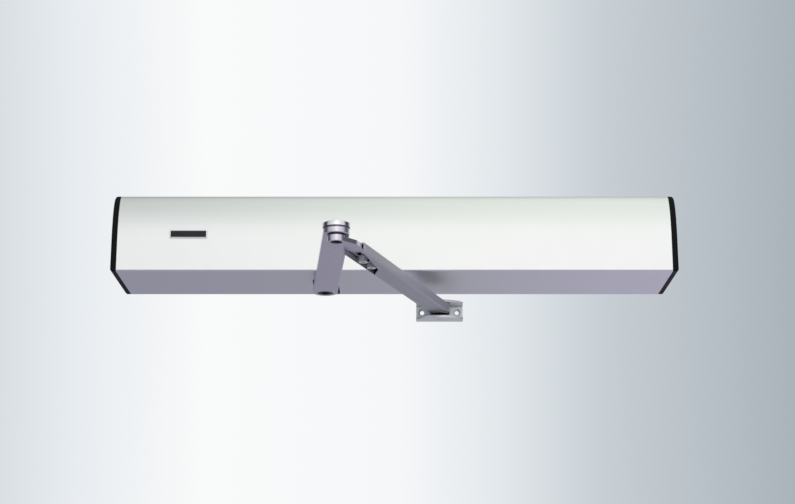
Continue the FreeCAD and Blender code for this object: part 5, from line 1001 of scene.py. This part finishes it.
@dataclass
class HydraulicDrive:
    """The cast body with the piston, the spring, the spindle and the two valves.

    The piston squeezes the spring from one end and the adjuster from the other, so the spring stands
    here as two parts that meet at a plane that stays where it is.
    """

    spring_split: float = 0.72
    piston_travel: float = 0.0273
    plate_travel: float = 0.008

    def build(self, shop: Workshop) -> None:
        """Dresses the nodes and adds the two parts of the spring.

        Args:
            shop: Where the finishes come from.
        """
        shop.dress(CAST_METAL, "drive_body")
        shop.dress(SCREW_STEEL, "drive_screws")
        self._spring_part(shop, SpringEnd.PISTON, "spring_piston_end")
        self._spring_part(shop, SpringEnd.ADJUSTER, "spring_adjuster_end")
        shop.dress(SEAL_RUBBER, "plug_seals", "piston_seals", "spindle_seals")
        shop.dress_turned(replace(TURNED_STEEL, axis=Axis.X), "left_end_plug", "right_end_plug",
                          "rack_piston", "spring_plate", "spring_adjuster")
        shop.dress_turned(replace(BRASS, axis=Axis.X), "check_valve")
        shop.dress_turned(TURNED_STEEL, "output_spindle", "bearing_caps")
        shop.dress_turned(BEARING_STEEL, "spindle_bearings")
        shop.dress_turned(BRASS, "closing_speed_valve", "latching_speed_valve")

    def _spring_part(self, shop: Workshop, end: SpringEnd, name: str) -> None:
        """Adds one part of the spring, which stands for the node together with the other one.

        Args:
            shop: Where the finishes come from.
            end: The end that the part reaches to.
            name: The part's name.
        """
        low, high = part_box("closing_spring")
        meeting = (low + high) / 2
        meeting.x = low.x + self.spring_split * (high.x - low.x)
        work = MeshWork.copied(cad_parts["closing_spring"])
        work.keep_side(meeting, Vector((end.value, 0.0, 0.0)))
        piece = shop.piece(name, work, SPRING_STEEL, "housing", "spring_steel")
        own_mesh(piece)
        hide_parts("closing_spring")


@dataclass
class PumpAndMotor:
    """The gear pump, the electric motor and the pressure pipe."""

    def build(self, shop: Workshop) -> None:
        """Dresses the nodes.

        Args:
            shop: Where the finishes come from.
        """
        shop.dress(CAST_METAL, "pump_housing", "pump_cover", "motor_front_bell", "motor_rear_bell",
                   "motor_bracket")
        shop.dress(MOTOR_BLACK, "motor_housing")
        shop.dress(MAGNET, "motor_magnets")
        shop.dress(ZINC_SHEET, "pressure_pipe")
        shop.dress_turned(replace(BEARING_STEEL, axis=Axis.X), "motor_bearings")
        shop.dress_turned(replace(TURNED_STEEL, axis=Axis.X), "shaft_coupling", "pump_drive_gear",
                          "pump_idler_gear")
        shop.dress(replace(LAMINATIONS, axis=Axis.X, name="rotor_stack"), "motor_rotor")
        shop.dress(COPPER, "rotor_windings")
        shop.dress(CARRIER_PLASTIC, "encoder_disc")


@dataclass
class Electrics:
    """The transformer and the control unit."""

    def build(self, shop: Workshop) -> None:
        """Dresses the nodes.

        Args:
            shop: Where the finishes come from.
        """
        shop.dress(LAMINATIONS, "transformer_core")
        shop.dress(COPPER, "transformer_coil")
        shop.dress(ZINC_SHEET, "transformer_bracket")
        shop.dress(CARRIER_PLASTIC, "board_carrier")
        shop.dress(BOARD_GREEN, "control_board")
        shop.dress(COMPONENT, "board_components")
        shop.dress(TERMINAL_GREEN, "terminal_blocks")


@dataclass
class LinkArm:
    """The drive arm, the elbow, the telescoping forearm and the door shoe."""

    def build(self, shop: Workshop) -> None:
        """Dresses the nodes.

        Args:
            shop: Where the finishes come from.
        """
        shop.dress(ARM_SILVER, "main_arm", "elbow_link")
        shop.dress(CHANNEL_SILVER, "forearm_channel")
        shop.dress_turned(TURNED_STEEL, "elbow_cap", "shoe_pin")
        shop.dress(BLACK_OXIDE, "elbow_screw", "arm_screw")
        shop.dress_turned(TINNED_BRONZE, "forearm_bush")
        shop.dress(BRIGHT_ZINC, "clamp_screws", "clamp_washers")
        shop.dress(CAP_PLASTIC, "shoe_spacer")
        shop.dress(BRONZE, "elbow_bush")
        shop.dress(SHOE_ZINC, "door_shoe")


# The floor as metal mirrors it, from left to right.
FLOOR_SHEEN: Stops = ((0.0, (0.43, 0.41, 0.54)), (0.4, (0.49, 0.48, 0.59)), (0.55, (0.52, 0.54, 0.61)),
                      (0.75, (0.72, 0.68, 0.87)), (1.0, (0.74, 0.68, 0.92)))
# The sky behind the object, from left to right.
BACKDROP: Stops = ((0.0, (0.66, 0.7, 0.73)), (0.12, (0.81, 0.845, 0.88)), (0.27, (0.95, 0.955, 0.955)),
                   (0.5, (0.92, 0.93, 0.95)), (0.62, (0.77, 0.81, 0.84)), (0.75, (0.57, 0.62, 0.66)),
                   (1.0, (0.38, 0.43, 0.47)))
# The mirrored horizon, from the camera's side to the wall's.
RING: Stops = ((0.0, (1.18, 1.18, 1.18)), (0.3, (1.05, 1.05, 1.05)), (0.42, (0.4, 0.4, 0.42)),
               (0.5, (0.06, 0.06, 0.07)), (0.62, (0.08, 0.08, 0.09)), (0.8, (0.34, 0.36, 0.36)),
               (1.0, (0.45, 0.45, 0.45)))
# The tint of that horizon, from left to right.
FRONT_TINT: Stops = ((0.0, (0.5, 0.5, 0.54)), (0.36, (0.84, 0.835, 0.87)), (0.51, (1.16, 1.17, 1.1)),
                     (0.6, (1.06, 1.05, 1.03)), (0.68, (0.9, 0.86, 0.93)), (1.0, (0.66, 0.64, 0.7)))
# The mirrored ceiling, from the camera's side to the wall's.
BEHIND: Stops = ((0.0, (1.0, 1.0, 1.0)), (0.35, (1.0, 1.0, 1.0)), (0.5, (0.88, 0.88, 0.89)),
                 (0.66, (0.68, 0.68, 0.7)), (0.85, (0.45, 0.45, 0.47)), (1.0, (0.3, 0.3, 0.32)))
# The tint of that ceiling, from left to right.
OVERHEAD: Stops = ((0.0, (0.36, 0.36, 0.38)), (0.38, (0.46, 0.47, 0.48)), (0.52, (1.06, 1.13, 1.04)),
                   (0.62, (0.96, 1.02, 0.93)), (0.72, (0.66, 0.69, 0.65)), (1.0, (0.4, 0.42, 0.42)))


@dataclass
class Studio:
    """The floor, the lamps, the sky and the camera."""

    floor_level: float = -2.6
    floor_reach: float = 40.0
    floor_corners: int = 48
    floor_colour: Colour = (0.82, 0.82, 0.83)
    floor_glow: Colour = (0.2, 0.22, 0.24)
    floor_roughness: float = 0.9
    sheen_gain: float = 0.2
    backdrop_gain: float = 2.0
    overhead_start: float = 0.35
    overhead_gain: float = 3.3
    ambient: float = 0.62
    key_place: Place = (-1.6, -2.6, 1.9)
    key_power: float = 34.0
    fill_place: Place = (1.9, -2.2, 0.9)
    fill_power: float = 16.0
    lamp_size: float = 2.2
    camera_place: Place = (0.00373, -2.0388, -0.5442)
    camera_pitch: float = math.radians(15.108)
    camera_lens: float = 74.1
    camera_sensor: float = 36.0

    def build(self) -> None:
        """Sets the whole studio up."""
        self._floor()
        self._lamp("key", self.key_place, self.key_power)
        self._lamp("fill", self.fill_place, self.fill_power)
        self._world()
        self._camera()
        bpy.context.scene.view_settings.view_transform = "Standard"

    def _floor(self) -> None:
        """Lays the plain pale floor."""
        work = MeshWork()
        turns = [math.tau * corner / self.floor_corners for corner in range(self.floor_corners)]
        work.mesh.faces.new([work.mesh.verts.new((self.floor_reach * math.cos(turn),
                                                  self.floor_reach * math.sin(turn), self.floor_level))
                             for turn in turns])
        floor = bpy.data.objects.new("floor", work.finished("floor"))
        bpy.context.scene.collection.objects.link(floor)
        floor.data.materials.append(self._floor_material())

    def _floor_material(self) -> bpy.types.Material:
        """Makes the floor pale, and tinted along X where metal mirrors it.

        Returns:
            The floor's material.
        """
        made = bpy.data.materials.new("floor")
        graph = Graph(made)
        place = graph.node("ShaderNodeTexCoord", {}, {}, "Object")
        side = graph.node("ShaderNodeSeparateXYZ", {}, {0: place})
        sheen = graph.ramp(side, FLOOR_SHEEN, self.sheen_gain)
        colour = graph.mix(graph.ray(Ray.GLOSSY), self.floor_colour, sheen)
        glow = graph.mix(graph.ray(Ray.CAMERA), (0.0, 0.0, 0.0), self.floor_glow)
        shader = graph.node("ShaderNodeBsdfPrincipled", {}, {
            "Base Color": colour, "Roughness": self.floor_roughness, "Emission Color": glow,
            "Emission Strength": 1.0})
        graph.node("ShaderNodeOutputMaterial", {}, {"Surface": shader})
        return made

    def _lamp(self, name: str, place: Place, power: float) -> None:
        """Hangs a soft lamp that points at the object and that no metal mirrors.

        Args:
            name: The lamp's name.
            place: Where it hangs.
            power: Its power in watts.
        """
        light = bpy.data.lights.new(name, "AREA")
        light.shape = "SQUARE"
        light.size = self.lamp_size
        light.energy = power
        lamp = bpy.data.objects.new(name, light)
        lamp.location = place
        lamp.rotation_euler = (-Vector(place)).to_track_quat("-Z", "Y").to_euler()
        lamp.visible_camera = False
        lamp.visible_glossy = False
        bpy.context.scene.collection.objects.link(lamp)

    def _world(self) -> None:
        """Paints the sky: even light, the backdrop that shows, and what metal mirrors."""
        world = bpy.data.worlds.new("studio")
        bpy.context.scene.world = world
        graph = Graph(world)
        way = graph.node("ShaderNodeTexCoord", {}, {}, "Generated")
        side, depth, height = (graph.node("ShaderNodeSeparateXYZ", {}, {0: way}, output)
                               for output in range(3))
        around = graph.ramp(depth / side.length_with(depth), RING)
        level = graph.mix(1.0, around, graph.ramp(side, FRONT_TINT), Blend.MULTIPLY)
        above = graph.mix(1.0, graph.ramp(side, OVERHEAD), graph.ramp(depth, BEHIND), Blend.MULTIPLY)
        overhead = ((height - self.overhead_start) * self.overhead_gain).clamped()
        mirrored = graph.mix(overhead, level, above)
        lighting = (self.ambient, self.ambient, self.ambient)
        unseen = graph.mix(graph.ray(Ray.GLOSSY), lighting, mirrored)
        shown = (graph.ray(Ray.CAMERA) + graph.ray(Ray.TRANSMISSION)).clamped()
        colour = graph.mix(shown, unseen, graph.ramp(side, BACKDROP, self.backdrop_gain))
        sky = graph.node("ShaderNodeBackground", {}, {"Color": colour, "Strength": 1.0})
        graph.node("ShaderNodeOutputWorld", {}, {"Surface": sky})

    def _camera(self) -> None:
        """Sets the camera up where the photographer stood, below the object."""
        data = bpy.data.cameras.new("camera")
        data.sensor_width = self.camera_sensor
        data.lens = self.camera_lens
        camera = bpy.data.objects.new("camera", data)
        camera.location = self.camera_place
        camera.rotation_euler = (math.pi / 2 + self.camera_pitch, 0.0, 0.0)
        bpy.context.scene.collection.objects.link(camera)
        bpy.context.scene.camera = camera


def main() -> None:
    """Builds every sub-assembly in order, then the studio."""
    logging.basicConfig(level=logging.INFO, format="%(name)s: %(message)s")
    shop = Workshop()
    for assembly in (Housing(), BackPlate(), HydraulicDrive(), PumpAndMotor(), Electrics(), LinkArm()):
        assembly.build(shop)
    Studio().build()
    bpy.context.view_layer.update()


if __name__ == "__main__":
    main()
